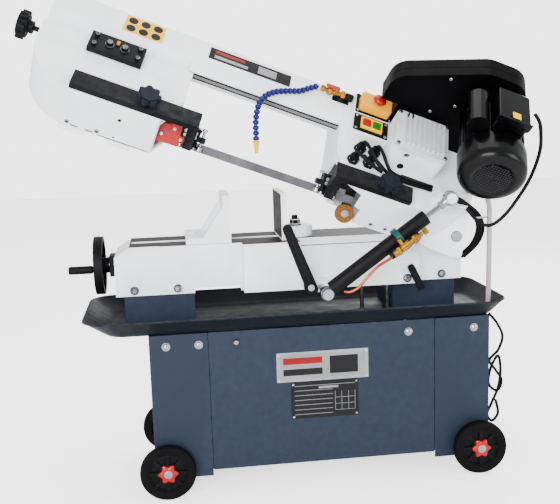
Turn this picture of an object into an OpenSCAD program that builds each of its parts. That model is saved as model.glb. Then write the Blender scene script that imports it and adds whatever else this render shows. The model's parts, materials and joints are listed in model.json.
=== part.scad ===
// Horizontal band saw on a wheeled cabinet. Millimetres, +Z up, +X towards the pivot and motor end,
// -Y towards the operator. The origin is on the floor, under the middle of the cabinet.

/* [Cabinet] */
// Width over the two sheet-metal legs
cab_w = 834; // [760:2:900]
// Depth of the cabinet
cab_d = 270; // [250:2:300]
// Width of one leg, seen from the front
leg_w = 139; // [120:1:160]
// Height of the top of the legs
leg_top = 398; // [360:2:440]
// Ground clearance under the legs
leg_clear = 40; // [30:1:55]
// Thickness of the cabinet's sheet metal
sheet = 3; // [2:0.5:4]
// Radius of the transport wheels
caster_r = 67; // [60:1:72]
// Distance between the left and right wheel axes
caster_span = 774; // [740:2:800]

/* [Chip tray] */
// Height of the tray, rim to floor
tray_h = 41; // [30:1:55]
// Left end of the tray's rim
tray_x0 = -571; // [-590:1:-550]
// Right end of the tray's rim
tray_x1 = 465; // [450:1:480]
// Front edge of the tray's rim
tray_y0 = -164; // [-175:1:-155]
// Back edge of the tray's rim
tray_y1 = 175; // [165:1:190]

/* [Bed and vise] */
// Left end of the bed casting
bed_x0 = -492; // [-500:1:-485]
// Right end of the bed casting
bed_x1 = 380; // [375:1:390]
// Height of the machined table
bed_top = 594; // [590:0.5:596]
// Height of the underside of the bed casting
bed_bottom = 474; // [468:1:480]
// Front face of the bed's left part
bed_front = -30; // [-34:1:-26]
// Back face of the bed
bed_back = 140; // [130:1:150]
// How far the right part stands in front of the left part
bed_step = 33; // [25:1:36]
// Height of the lead screw's axis
screw_z = 541; // [536:1:545]
// Radius of the lead screw
screw_r = 10; // [8:0.5:12]
// Radius of the vise handwheel
handwheel_r = 73; // [60:1:76]
// Height of the jaws above the table
jaw_h = 117; // [100:1:122]
// Front face of the moving jaw
moving_jaw_x = -205; // [-215:1:-195]
// Clamping face of the fixed jaw
fixed_jaw_x = -79; // [-85:1:-70]

/* [Saw arm] */
// Pivot axis, along the bed
pivot_x = 350; // [346:1:352]
// Pivot axis, above the floor
pivot_z = 590; // [586:0.5:592]
// Right end of the blade's line at table height, where the arm's own axes start
arm_x = 365; // [360:1:370]
// Start of the arm's own axes, above the floor
arm_z = 583; // [580:0.5:586]
// Plane of the blade, in depth
blade_y = -75; // [-80:1:-70]
// Angle of the arm above horizontal as drawn
arm_raise = 21.1; // [19:0.1:24]
// Tilt of the blade wheels from vertical
wheel_tilt = 45; // [40:1:50]
// Radius of the two blade wheels
band_wheel_r = 123; // [115:1:127]
// Length of the blade loop
blade_len = 2360; // [2340:1:2380]
// Width of the blade
blade_w = 20; // [19:1:25]
// Thickness of the blade
blade_t = 0.9; // [0.6:0.1:1.1]
// Gap between a blade wheel and the inside of its housing
wheel_gap = 31; // [26:1:36]
// Height of the housings' top plate above the wheel plane
arm_top = 77; // [76:0.5:79]
// Wall of the arm casting
arm_wall = 6; // [5:0.5:8]

/* [Drive] */
// Teeth on the worm wheel
worm_teeth = 30; // [20:1:40]
// Radius of the motor's pulley
motor_pulley_r = 26; // [24:1:30]
// Radius of the worm shaft's pulley
worm_pulley_r = 38; // [34:1:39]
// Radius of the motor's body
motor_r = 72; // [64:1:76]

/* [Feed cylinder] */
// Foot pin of the cylinder, along the bed
foot_x = 4; // [0:1:8]
// Foot pin of the cylinder, above the floor
foot_z = 486; // [482:1:490]
// Rod eye, along the bed
eye_x = 304; // [300:1:308]
// Rod eye, above the floor
eye_z = 696; // [692:1:700]
// Plane of the cylinder, in depth
feed_y = -172; // [-176:1:-170]
// Radius of the barrel
barrel_r = 18; // [16:0.5:19]
// Length of the barrel
barrel_len = 280; // [270:1:285]

/* [Hidden] */
$fn = 48;
eps = 0.1;
run = 0.05; // radial clearance of a running fit

navy = [0.20, 0.25, 0.32];
cast_white = [0.88, 0.89, 0.92];
black = [0.06, 0.06, 0.07];
steel = [0.72, 0.73, 0.75];
red = [0.85, 0.07, 0.07];

tray_z = leg_top;
caster_z = caster_r;
caster_y = cab_d / 2 + 21;
axle_r = 10;

bed_mid_y = (bed_front + bed_back) / 2;
bed_right_front = bed_front - bed_step;
bed_step_x = -180;
bed_end_x = 262;
lug_front = -8; // front face of the arm's pivot plate, from the blade's plane
lug_t = 38;
hinge_r = 30;
lug_gap = 121; // between the pivot plate and the rear lug
rear_lug_t = 18;

// hinge axis in the arm's own axes
pivot_u = (pivot_x - arm_x) * cos(arm_raise) - (pivot_z - arm_z) * sin(arm_raise);
pivot_h = (pivot_x - arm_x) * sin(arm_raise) + (pivot_z - arm_z) * cos(arm_raise);

// arm layout, in the wheel plane's own axes: u along the arm, v across it, w out of it
wheel_v = band_wheel_r + 0.2 + blade_t / 2;
wheel_centres = (blade_len - 2 * PI * band_wheel_r) / 2;
drive_u = -165;
idle_u = drive_u - wheel_centres;
house_r = band_wheel_r + wheel_gap;
arm_v0 = wheel_v - house_r;
arm_v1 = wheel_v + house_r;
arm_u0 = idle_u - house_r;
arm_u1 = drive_u + house_r;
left_end_u = -753;
right_start_u = -374;
rim_w = -38;
cover_w = -41.5;
pocket_w = 55; // ceiling of the idle wheel's pocket
rib_v = 126; // middle of the rib that carries the tension block
rib_w = arm_top + 5;
tension_w = 66; // tension screw, above the wheel plane
tension_end_u = idle_u - 14;
slot_r = 12; // radius of the idle wheel's axle
slot_travel = 14;

gear_u = -187;
gear_v = 141;
gear_w = 146;
worm_w = 126;
worm_gear_r = 37;
worm_r = 12;
worm_u = drive_u - worm_gear_r - worm_r - 0.5;
motor_u = -50;
motor_w = 235;
fan_v = -20;
box_v = 205;
box_mid_v = 232;
box_end_v = 262;
pulley_v = 222;

left_guide_u = -716;
right_guide_u = -361;
bar_v0 = -28;
bar_v1 = 17;
bar_top = arm_top + 16;
hanger_v1 = 3;
hanger_w0 = 10;
brush_u = right_guide_u + 57;
brush_h = -35;

// ---------------------------------------------------------------- placing

module arm_frame() {
    translate([arm_x, blade_y, arm_z]) rotate([0, arm_raise, 0]) children();
}

module wheel_frame() {
    arm_frame() rotate([wheel_tilt, 0, 0]) children();
}

// stands children along v, with their own z pointing from front to back
module along_v(u, w, v) {
    wheel_frame() translate([u, v, w]) rotate([-90, 0, 0]) children();
}

// cylinder along Y, from y to y + h
module rod_y(r, h, x, y, z) {
    translate([x, y, z]) rotate([-90, 0, 0]) cylinder(r = r, h = h);
}

// cylinder along X, from x to x + h
module rod_x(r, h, x, y, z) {
    translate([x, y, z]) rotate([0, 90, 0]) cylinder(r = r, h = h);
}

// rectangle from p to q with round corners
module round_rect(p, q, r) {
    translate([p.x + r, p.y]) square([q.x - p.x - 2 * r, q.y - p.y]);
    translate([p.x, p.y + r]) square([q.x - p.x, q.y - p.y - 2 * r]);
    for (x = [p.x + r, q.x - r], y = [p.y + r, q.y - r])
        translate([x, y]) circle(r);
}

// star knob: round disc on z = 0 with lobes around it and a boss below
module star_knob(r, h, lobes) {
    lobe_r = r * 0.26;
    cylinder(r = r * 0.74, h = h);
    for (i = [0:lobes - 1])
        rotate([0, 0, i * 360 / lobes])
            translate([r - lobe_r, 0, h * 0.12]) cylinder(r = lobe_r, h = h * 0.76);
    translate([0, 0, -h * 0.5]) cylinder(r = r * 0.42, h = h * 0.5 + eps);
}

// hexagon head bolt with its head's underside on z = 0
module hex_head(across, h) {
    cylinder(r = across / sqrt(3), h = h, $fn = 6);
}

// ---------------------------------------------------------------- cabinet

// left leg's folded sheet: front, outer side and back
module leg_sheet() {
    x0 = -cab_w / 2;
    foot = 24;
    difference() {
        translate([x0, -cab_d / 2, leg_clear]) cube([leg_w, cab_d, leg_top - leg_clear]);
        translate([x0 + sheet, -cab_d / 2 + sheet, leg_clear - eps])
            cube([leg_w + eps, cab_d - 2 * sheet, leg_top - leg_clear - sheet + eps]);
        // ends of the leg that stand clear of the floor between its corners
        translate([x0 - eps, -cab_d / 2 + 60, leg_clear - eps])
            cube([leg_w + 2 * eps, cab_d - 120, foot]);
        for (y = [-cab_d / 2 - eps, cab_d / 2 - sheet - eps])
            rod_y(axle_r + run, sheet + 2 * eps, -caster_span / 2, y, caster_z);
    }
}

module left_leg() {
    color(navy) leg_sheet();
}

module right_leg() {
    color(navy) mirror([1, 0, 0]) leg_sheet();
}

module cabinet_panels() {
    inner_w = cab_w - 2 * leg_w - 2;
    color(navy)
        for (y = [-cab_d / 2 + 1, cab_d / 2 - 1 - sheet])
            translate([-inner_w / 2, y, leg_clear + 14])
                cube([inner_w, sheet, leg_top - leg_clear - 14]);
}

// flared box: a floor outline that widens to the rim
module tray_shape(inset, z0, z1) {
    flare = 36;
    corner = 42;
    hull() {
        translate([0, 0, z0])
            linear_extrude(0.5)
                round_rect([tray_x0 + flare + 24 + inset, tray_y0 + flare + inset],
                           [tray_x1 - flare - inset, tray_y1 - flare - inset], corner, $fn = 32);
        translate([0, 0, z1 - 0.5])
            linear_extrude(0.5)
                round_rect([tray_x0 + inset, tray_y0 + inset], [tray_x1 - inset, tray_y1 - inset],
                           corner + 20, $fn = 32);
    }
}

module chip_tray() {
    wall = 3.5;
    drain_r = 14;
    color(navy) difference() {
        tray_shape(0, tray_z, tray_z + tray_h);
        tray_shape(wall, tray_z + wall, tray_z + tray_h + eps);
        translate([120, -70, tray_z - eps]) cylinder(r = drain_r, h = 2 * wall);
    }
}

module bed_risers() {
    floor_z = tray_z + 3.5;
    riser_h = bed_bottom - floor_z;
    wall = 4;
    y0 = bed_front + 4;
    depth = bed_back - bed_front - 12;
    color(navy) {
        for (x = [[-473, 172], [201, 163]])
            difference() {
                translate([x[0], y0, floor_z]) cube([x[1], depth, riser_h]);
                translate([x[0] + wall, y0 + wall, floor_z - eps])
                    cube([x[1] - 2 * wall, depth - 2 * wall, riser_h + 2 * eps]);
            }
    }
}

// coolant tank on the cabinet's floor, with the pump and its pick-up on the lid
module coolant_tank() {
    tank = [240, 190, 130];
    tank_x = -40;
    color([0.75, 0.78, 0.8]) {
        difference() {
            translate([tank_x - tank.x / 2, -tank.y / 2, 58]) cube(tank);
            translate([tank_x - tank.x / 2 + 3, -tank.y / 2 + 3, 61])
                cube([tank.x - 6, tank.y - 6, tank.z - 6]);
        }
        translate([tank_x - 60, 0, 58 + tank.z]) {
            cylinder(r = 38, h = 90);
            translate([-52, -52, 0]) cube([104, 104, 6]);
        }
    }
}

// two long axles, each with a wheel on both ends
module wheel_axles() {
    color(steel)
        for (x = [-caster_span / 2, caster_span / 2])
            rod_y(axle_r, 2 * caster_y + 34, x, -caster_y - 17, caster_z);
}

module stand_bolts() {
    color(steel) {
        for (x = [205, 294, 371], s = [-1, 1])
            translate([s * (x + 6), -cab_d / 2, leg_top - 28])
                rotate([90, 0, 0]) if (x != 294) cylinder(r1 = 9, r2 = 5, h = 5);
        for (x = [-447, -337])
            translate([x, bed_front, bed_bottom + 13]) rotate([90, 0, 0]) hex_head(13, 6);
        translate([228, bed_right_front, bed_bottom + 14]) rotate([90, 0, 0]) hex_head(13, 6);
        translate([329, bed_front, bed_bottom + 14]) rotate([90, 0, 0]) hex_head(13, 6);
    }
}

module caster(x, side) {
    y0 = side < 0 ? -caster_y - 14 : caster_y - 14;
    translate([x, y0, caster_z]) rotate([-90, 0, 0]) difference() {
        union() {
            cylinder(r = caster_r, h = 28);
            translate([0, 0, side < 0 ? -3 : 28 - eps]) cylinder(r = 26, h = 3 + eps);
        }
        for (z = [-eps - 3, 20 + eps])
            translate([0, 0, z]) difference() {
                cylinder(r = caster_r - 18, h = z < 0 ? 11 : 11 + eps);
                translate([0, 0, -eps]) cylinder(r = 26, h = 12);
            }
        translate([0, 0, -5]) cylinder(r = axle_r + run, h = 40);
    }
}

module wheel_front_left() {
    color(black) caster(-caster_span / 2, -1);
}

module wheel_front_right() {
    color(black) caster(caster_span / 2, -1);
}

module wheel_rear_left() {
    color(black) caster(-caster_span / 2, 1);
}

module wheel_rear_right() {
    color(black) caster(caster_span / 2, 1);
}

// ---------------------------------------------------------------- bed

// bed cross-section's front limit: a 45 degree chamfer that clears the lowered arm
module chamfer_prism(x0, x1) {
    depth = -bed_right_front + 40;
    translate([x0, 0, bed_top]) rotate([90, 0, 90]) linear_extrude(x1 - x0)
        polygon([[2, 2], [-depth, -depth], [-depth, 40], [2, 40]]);
}

module bed_casting() {
    wall = 12;
    color(cast_white) difference() {
        union() {
            translate([bed_x0, bed_front, bed_bottom])
                cube([bed_x1 - bed_x0, bed_back - bed_front, bed_top - bed_bottom]);
            translate([bed_step_x, bed_right_front, bed_bottom])
                cube([bed_end_x - bed_step_x, bed_step + eps, bed_top - bed_bottom]);
            // lug that carries the feed cylinder's foot pin
            translate([foot_x - 17, bed_right_front - 40, bed_bottom]) cube([34, 40 + eps, 28]);
            // hinge block for the saw arm
            rod_y(hinge_r, 113, pivot_x, bed_front - 13, pivot_z);
        }
        // hollow underside of the left and right halves
        translate([bed_x0 + wall, bed_front + wall, bed_bottom - eps])
            cube([430, bed_back - bed_front - 2 * wall, bed_top - bed_bottom - 16]);
        translate([-30, bed_front + wall, bed_bottom - eps])
            cube([270, bed_back - bed_front - 2 * wall, bed_top - bed_bottom - 16]);
        // slot for the moving jaw's key
        translate([-452, bed_mid_y - 15, bed_top - 30]) cube([400, 30, 40]);
        // undercut of the step, between the feet
        translate([-300, bed_front - 90, bed_bottom - eps]) cube([115, 260, 12]);
        // sloping left end
        translate([bed_x0 - 1, bed_front - 1, bed_top - 24])
            rotate([90, 0, 0]) mirror([0, 0, 1]) linear_extrude(bed_back - bed_front + 2)
                polygon([[0, 0], [0, 40], [60, 40], [38, 24]]);
        // relief under the left wheel box
        translate([bed_x0 - 1, bed_front, bed_top - 9]) rotate([90, 0, 90]) linear_extrude(112)
            polygon([[-1, -1], [-1, 20], [9, 20], [9, 9]]);
        chamfer_prism(-38, bed_x1 + 20);
        // room for the arm's rear lug
        translate([pivot_x - 48, bed_front + 100, bed_bottom + 20]) cube([100, 100, 200]);
        rod_y(axle_r, 200, pivot_x, bed_front - 20, pivot_z);
        // bores for the lead screw, the stop rod and the foot pin
        rod_x(screw_r + run, 80, bed_x0 - 10, bed_mid_y, screw_z);
        rod_x(screw_r + run, 60, -62, bed_mid_y, screw_z);
        rod_y(8 + run, 60, -26, bed_right_front - 10, 492);
        rod_y(8, 60, foot_x, bed_right_front - 50, foot_z);
    }
}

module screw_bearing() {
    color(black) difference() {
        translate([bed_x0 - 16, bed_mid_y - 26, screw_z - 26]) cube([16, 52, 52]);
        rod_x(screw_r + run, 40, bed_x0 - 28, bed_mid_y, screw_z);
    }
}

module pivot_shaft() {
    color(steel) {
        rod_y(axle_r, 192, pivot_x, blade_y - 14, pivot_z);
        rod_y(13, 4, pivot_x, blade_y - 14, pivot_z);
    }
}

module cylinder_foot() {
    color(steel) {
        rod_y(8, bed_right_front - feed_y + 22, foot_x, feed_y - 20, foot_z);
        rod_y(13, 6, foot_x, feed_y - 24, foot_z);
    }
}

module lead_screw() {
    color(steel) {
        rod_x(screw_r, 520, bed_x0 - 52, bed_mid_y, screw_z);
    }
}

module vise_handwheel() {
    x0 = bed_x0 - 52;
    rim = 11;
    handle_y = bed_mid_y - handwheel_r + rim + 4;
    color(black) difference() {
        union() {
            rod_x(handwheel_r, 22, x0, bed_mid_y, screw_z);
            rod_x(20, 34, x0, bed_mid_y, screw_z);
        }
        // dished web
        translate([x0 + 12, bed_mid_y, screw_z]) rotate([0, 90, 0]) difference() {
            cylinder(r = handwheel_r - rim, h = 12);
            cylinder(r = 20, h = 14);
        }
        translate([x0 - 1, bed_mid_y, screw_z]) rotate([0, 90, 0]) difference() {
            cylinder(r = handwheel_r - rim, h = 7);
            translate([0, 0, -1]) cylinder(r = 20, h = 10);
            translate([0, -handwheel_r + rim + 4, -1]) cylinder(r = 10, h = 10);
        }
        rod_x(screw_r + run, 60, x0 - 10, bed_mid_y, screw_z);
        rod_x(5 + run, 40, x0 - 10, handle_y, screw_z);
    }
}

module crank_handle() {
    x0 = bed_x0 - 52;
    handle_y = bed_mid_y - handwheel_r + 15;
    color(black) {
        rod_x(5, 20, x0 - 4, handle_y, screw_z);
        rod_x(10, 58, x0 - 60, handle_y, screw_z);
    }
}

// jaw plate and its foot; the plate's clamping face is at x
module jaw_foot(x0, x1, z1) {
    translate([x0, bed_front + 2, bed_top]) cube([x1 - x0, bed_back - bed_front - 4, z1]);
}

module moving_jaw() {
    base_len = 111;
    plate_t = 18;
    x0 = moving_jaw_x - base_len;
    color(cast_white) difference() {
        union() {
            jaw_foot(x0, moving_jaw_x, 16);
            translate([moving_jaw_x - plate_t, bed_front + 2, bed_top])
                cube([plate_t, bed_back - bed_front - 4, jaw_h]);
            // gussets behind the plate
            for (y = [bed_front + 2, bed_back - 16])
                translate([0, y + 14, bed_top]) rotate([90, 0, 0]) linear_extrude(14)
                    polygon([[x0 + 42, 15], [moving_jaw_x - plate_t + 1, 15],
                             [moving_jaw_x - plate_t + 1, jaw_h - 24]]);
            // key and nut that hang in the bed's slot
            translate([x0 + 20, bed_mid_y - 14, screw_z - 16]) cube([60, 28, bed_top - screw_z + 17]);
            translate([x0 + 16, bed_mid_y, bed_top + 15]) cylinder(r = 11, h = 8);
        }
        rod_x(screw_r + run, 200, x0 - 20, bed_mid_y, screw_z);
    }
}

module fixed_jaw() {
    plate_t = 14;
    color(cast_white) difference() {
        union() {
            translate([fixed_jaw_x, bed_front + 2, bed_top])
                cube([plate_t, bed_back - bed_front - 4, jaw_h]);
            translate([fixed_jaw_x + 45, bed_mid_y, bed_top]) cylinder(r = 44, h = 26);
        }
        translate([fixed_jaw_x + 45, bed_mid_y, bed_top - 1]) cylinder(r = 8 + run, h = 60);
        translate([fixed_jaw_x - 20, bed_front - 20, bed_top - 1]) cube([20, 300, 200]);
    }
    color(steel) translate([fixed_jaw_x + 45, bed_mid_y, bed_top]) {
        cylinder(r = 8, h = 42);
        translate([0, 0, 26]) cylinder(r = 16, h = 4);
        translate([0, 0, 30]) hex_head(24, 12);
    }
}

module stop_rod() {
    color(steel) rod_y(8, 88, -26, -137, 492);
}

module stop_arm() {
    lean = 21;
    color(black) translate([-26, -121, 492]) rotate([0, -lean, 0]) difference() {
        union() {
            rod_y(15, 12, 0, 0, 0);
            translate([-8, 0, 0]) cube([16, 12, 148]);
            rod_y(8, 12, 0, 0, 148);
        }
        rod_y(8 + run, 20, 0, -4, 0);
    }
}

module transport_bar() {
    lean = 26;
    stand_off = 14;
    color([0.15, 0.17, 0.2])
        translate([237, bed_right_front - stand_off, 516]) rotate([0, -lean, 0]) {
            rod_y(9, 6, 0, 0, 0);
            translate([-9, 0, -62]) cube([18, 6, 62]);
            rod_y(5, stand_off + 3.8, 0, -4, 0);
        }
}

// ---------------------------------------------------------------- feed cylinder

feed_angle = atan2(eye_z - foot_z, eye_x - foot_x);
feed_len = norm([eye_x - foot_x, eye_z - foot_z]);

// local x from the foot pin to the rod eye, y back
module feed_frame() {
    translate([foot_x, feed_y, foot_z]) rotate([0, -feed_angle, 0]) children();
}

module cylinder_barrel() {
    inner_r = 14.2;
    foot_r = 15;
    color(black) feed_frame() {
        difference() {
            union() {
                rod_x(barrel_r, barrel_len, 14, 0, 0);
                rod_y(foot_r, 20, 0, -10, 0);
            }
            rod_x(inner_r, barrel_len, 30, 0, 0);
            rod_y(8 + run, 60, 0, -30, 0);
        }
    }
    // needle valve block and its fittings on the front of the barrel
    color([0.75, 0.6, 0.3]) feed_frame() difference() {
        translate([168, -barrel_r - 17, -24]) cube([84, 16, 16]);
        rod_x(3 + run, 30, 226, -barrel_r - 9, -16);
    }
}

module piston_rod() {
    rod_r = 6;
    rod_len = 288;
    color(steel) feed_frame() difference() {
        union() {
            rod_x(rod_r, rod_len - 20, feed_len - rod_len, 0, 0);
            rod_x(9, 18, feed_len - 32, 0, 0);
            rod_y(16, 16, feed_len, -8, 0);
        }
        rod_y(8 + run, 60, feed_len, -30, 0);
    }
}

module flow_valve_knob() {
    color([0.75, 0.6, 0.3]) feed_frame() {
        rod_x(3, 26, 230, -barrel_r - 9, -16);
        rod_x(7.5, 12, 256, -barrel_r - 9, -16);
    }
}

// ---------------------------------------------------------------- saw arm

// outline of the idle wheel's housing, drawn inset by g
module left_outline(g) {
    front_r = 125;
    back_r = 50;
    u0 = arm_u0 + g;
    v0 = arm_v0 + g;
    v1 = arm_v1 - g;
    fr = front_r - g;
    br = back_r - g;
    difference() {
        union() {
            translate([u0 + fr, v0]) square([left_end_u - g - u0 - fr, v1 - v0]);
            translate([u0, v0 + fr]) square([left_end_u - g - u0, v1 - v0 - fr - br]);
            translate([u0 + br, v0 + fr]) square([left_end_u - g - u0 - br, v1 - v0 - fr]);
            translate([u0 + fr, v0 + fr]) circle(fr);
            translate([u0 + br, v1 - br]) circle(br);
        }
        // the open end slopes back towards the front
        polygon([[left_end_u - g, 49], [left_end_u - 40 - g, arm_v0 - 1], [left_end_u + 10, arm_v0 - 1],
                 [left_end_u + 10, 49]]);
    }
}

// outline of the drive wheel's housing, drawn inset by g
module right_outline(g) {
    end_r = 120;
    u0 = right_start_u + g;
    u1 = arm_u1 - g;
    v0 = arm_v0 + g;
    v1 = arm_v1 - g;
    er = end_r - g;
    translate([u0, 68]) square([u1 - u0 - er, v1 - 68]);
    polygon([[u0, 68.1], [u0, 68], [u0 + 25, 5 + g], [u0 + 93, v0], [u1 - er, v0], [u1 - er, 68.1]]);
    translate([u1 - er - 1, v0 + er]) square([er + 1, v1 - v0 - er]);
    translate([u1 - er, v0 + er]) circle(er);
}

// section of the left housing's top across the arm: front deck, raised rib, channel, rear deck
module left_section() {
    channel_w = arm_top - 17;
    rotate([90, 0, 90]) translate([0, 0, arm_u0 - 1]) linear_extrude(left_end_u - arm_u0 + 2)
        polygon([[arm_v0 - 1, rim_w - 1], [arm_v0 - 1, arm_top], [rib_v - 30, arm_top],
                 [rib_v - 22, rib_w], [rib_v + 22, rib_w], [rib_v + 40, channel_w],
                 [rib_v + 58, channel_w], [rib_v + 80, arm_top - 1], [rib_v + 84, arm_top],
                 [arm_v1 + 1, arm_top], [arm_v1 + 1, rim_w - 1]]);
}

// beam between the housings: flat top with a rounded front edge and a lip under it
module beam() {
    plate = arm_top - arm_wall;
    rotate([90, 0, 90]) translate([0, 0, left_end_u - 10])
        linear_extrude(right_start_u - left_end_u + 20)
            polygon([[beam_v, arm_top - 30], [beam_v, arm_top - 10], [beam_v + 9, arm_top - 4],
                     [beam_v + 24, arm_top - 1], [beam_v + 44, arm_top], [arm_v1, arm_top],
                     [arm_v1, plate], [beam_v + 44, plate], [beam_v + 24, plate - 1],
                     [beam_v + 12, plate - 4], [beam_v + 6, plate - 9], [beam_v + 6, arm_top - 30]]);
}

// flat lug around the pivot, from y to y + t in the arm's own axes
module pivot_lug(y, t, h) {
    lug_r = 27;
    translate([pivot_u, 0, pivot_h]) {
        rod_y(lug_r, t, 0, y, 0);
        translate([-lug_r, y, 0]) cube([lug_r + 12, t, h]);
    }
}

// bracket plate in front of the hinge block, drawn in the plane of the arm
module pivot_plate() {
    translate([0, lug_front + lug_t, 0]) rotate([90, 0, 0]) linear_extrude(lug_t)
        polygon([[-99, -46], [-11, -51], [14, -40], [-9, 62], [-27, 97], [-99, 97]]);
}

beam_v = 169;

module bow_casting() {
    channel_v = arm_v1 - 46;
    deck = arm_top - arm_wall;
    color(cast_white) {
        difference() {
            union() {
                wheel_frame() {
                    difference() {
                        intersection() {
                            translate([0, 0, rim_w]) linear_extrude(rib_w - rim_w) left_outline(0);
                            left_section();
                        }
                        translate([0, 0, rim_w - 1]) linear_extrude(pocket_w - rim_w + 1)
                            left_outline(arm_wall);
                        // mouths for the lower and the returning blade
                        translate([left_end_u - 60, arm_v0 + arm_wall, -30]) cube([80, 70, 84]);
                        translate([left_end_u - 20, channel_v + arm_wall, -30])
                            cube([40, 34, 78]);
                    }
                    difference() {
                        translate([0, 0, rim_w]) linear_extrude(arm_top - rim_w) right_outline(0);
                        translate([0, 0, rim_w - 1]) linear_extrude(deck - rim_w + 1) right_outline(arm_wall);
                        translate([right_start_u - 20, arm_v0 + arm_wall, -30]) cube([110, 84, 84]);
                        brush_recess();
                        translate([right_start_u - 20, channel_v + arm_wall, -30])
                            cube([40, 34, 78]);
                    }
                    beam();
                    // channel of the returning blade, under the beam
                    for (v = [channel_v, arm_v1 - arm_wall])
                        translate([left_end_u - 4, v, -22])
                            cube([right_start_u - left_end_u + 8, arm_wall, arm_top - 1 + 22]);
                }
                arm_frame() {
                    pivot_plate();
                    pivot_lug(lug_front + lug_t + lug_gap, rear_lug_t, 118);
                }
            }
            arm_frame() rod_y(axle_r + run, 300, pivot_u, -60, pivot_h);
            hinge_room();
            wheel_frame() {
                // bores for the two wheel shafts
                translate([drive_u, wheel_v, 0]) cylinder(r = 15 + run, h = 120);
                // slot for the idle wheel's axle
                translate([idle_u - slot_r - 1, wheel_v - slot_r - 3, 0])
                    cube([2 * slot_r + slot_travel + 1, 2 * slot_r + 6, 120]);
                // bore for the tension screw
                translate([arm_u0 - 10, rib_v, tension_w]) rotate([0, 90, 0])
                    cylinder(r = 6 + run, h = idle_u - arm_u0);
            }
            // the blade's wheels and the feed pin's bracket leave the lugs free
            wheel_frame() translate([drive_u, wheel_v, -22]) cylinder(r = band_wheel_r + 3, h = 60);
        }
        // bracket that carries the rod eye's pin
        feed_pin();
    }
}

// room in the drive wheel's housing for the chip brush and its bracket
module brush_recess() {
    translate([right_start_u + 18, arm_v0 - 1, rim_w - 10]) cube([80, 36, 60]);
}

// room around the bed's hinge block, between the pivot plate and the rear lug
module hinge_room() {
    arm_frame() rod_y(hinge_r + 3, lug_gap - 1, pivot_u, lug_front + lug_t + 0.5, pivot_h);
}

// pin from the arm's top plate to the rod eye
module feed_pin() {
    ex = eye_x - arm_x;
    ez = eye_z - arm_z;
    eu = ex * cos(arm_raise) - ez * sin(arm_raise);
    eh = ex * sin(arm_raise) + ez * cos(arm_raise);
    ey = feed_y - blade_y;
    arm_frame() {
        rod_y(8, 82, eu, ey - 12, eh);
        rod_y(12, 4, eu, ey - 15, eh);
        rod_y(13, 30, eu, ey + 24, eh);
    }
    wheel_frame() translate([eu - 26, 14, arm_top]) cube([52, 40, 14]);
}

module left_wheel_cover() {
    hinge_v = arm_v0 - 5;
    color(cast_white) wheel_frame() {
        translate([0, 0, cover_w]) linear_extrude(2.5) left_outline(0.5);
        for (u = [-1010, -900])
            difference() {
                union() {
                    translate([u, hinge_v, cover_w - 2]) rotate([0, 90, 0]) cylinder(r = 4, h = 60);
                    translate([u, hinge_v, cover_w]) cube([60, 14, 2.5]);
                }
                translate([u - 1, hinge_v, cover_w - 2]) rotate([0, 90, 0]) cylinder(r = 1.6, h = 62);
            }
    }
}

// the hinge block's room, drawn on the cover's plane
module hinge_room_at_cover() {
    translate([-61, 0, cover_w - 5]) cube([100, 170, 20]);
}

module right_wheel_cover() {
    color(cast_white) wheel_frame() difference() {
        translate([0, 0, cover_w]) linear_extrude(3) right_outline(0.5);
        brush_recess();
        // the pivot plate and the rear lug come down past the cover's edge
        translate([-104, arm_v0 - 10, cover_w - 5]) cube([110, 55, 20]);
        translate([-49, 160, cover_w - 5]) cube([50, 50, 20]);
        hinge_room_at_cover();
    }
}

module blade_wheel(u, bore) {
    rim = 16;
    hub_r = 26;
    wheel_frame() translate([u, wheel_v, 0]) difference() {
        union() {
            translate([0, 0, -12]) cylinder(r = band_wheel_r, h = 24);
            translate([0, 0, -12]) cylinder(r = band_wheel_r + 2.5, h = 1.6);
        }
        for (z = [-12.5, 4])
            translate([0, 0, z]) difference() {
                cylinder(r = band_wheel_r - rim, h = 8.5);
                translate([0, 0, -1]) cylinder(r = hub_r, h = 12);
            }
        for (a = [0:60:300])
            rotate([0, 0, a]) translate([66, 0, -20]) cylinder(r = 17, h = 40);
        translate([0, 0, -20]) cylinder(r = bore, h = 40);
    }
}

module idle_wheel() {
    color([0.5, 0.5, 0.52]) blade_wheel(idle_u, 12 + run);
}

module drive_wheel() {
    color([0.5, 0.5, 0.52]) blade_wheel(drive_u, 12);
}

// tension block on the rib, with the idle wheel's axle under it
module tension_slide() {
    block = [129, 58, 15];
    edge = 13; // corner screws, from the block's edges
    block_u = idle_u - 42;
    floor_w = rib_w + 0.2;
    color(black) wheel_frame() {
        translate([block_u, rib_v - block.y / 2, floor_w]) cube(block);
        translate([idle_u, wheel_v, -16]) cylinder(r = slot_r, h = floor_w + 20);
        translate([block_u, rib_v, floor_w + block.z - eps]) {
            for (du = [edge, block.x - edge], dv = [edge - block.y / 2, block.y / 2 - edge])
                translate([du, dv, 0]) cylinder(r = 6, h = 5);
            for (du = [46, 82])
                translate([du, 0, 0]) hex_head(15, 8);
        }
    }
}

module tension_knob() {
    color(black) wheel_frame() {
        translate([arm_u0 - 28, rib_v, tension_w]) rotate([0, -90, 0]) star_knob(35, 24, 6);
        translate([arm_u0 - 30, rib_v, tension_w]) rotate([0, 90, 0])
            cylinder(r = 6, h = tension_end_u - arm_u0 + 30);
    }
}

// band around both wheels, of the given radius, in the wheel plane
module band_shape(r) {
    for (u = [idle_u, drive_u])
        translate([u, wheel_v]) circle(r);
    translate([idle_u, wheel_v - r]) square([wheel_centres, 2 * r]);
}

// stretch of the lower run that twists from the angle a0 to the angle a1
module blade_twist(u0, len, a0, a1) {
    arm_frame() translate([u0, 0, 0]) rotate([90, 0, 90]) rotate([0, 0, a0])
        linear_extrude(height = len, twist = a0 - a1, slices = 12)
            square([blade_t, blade_w], center = true);
}

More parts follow.
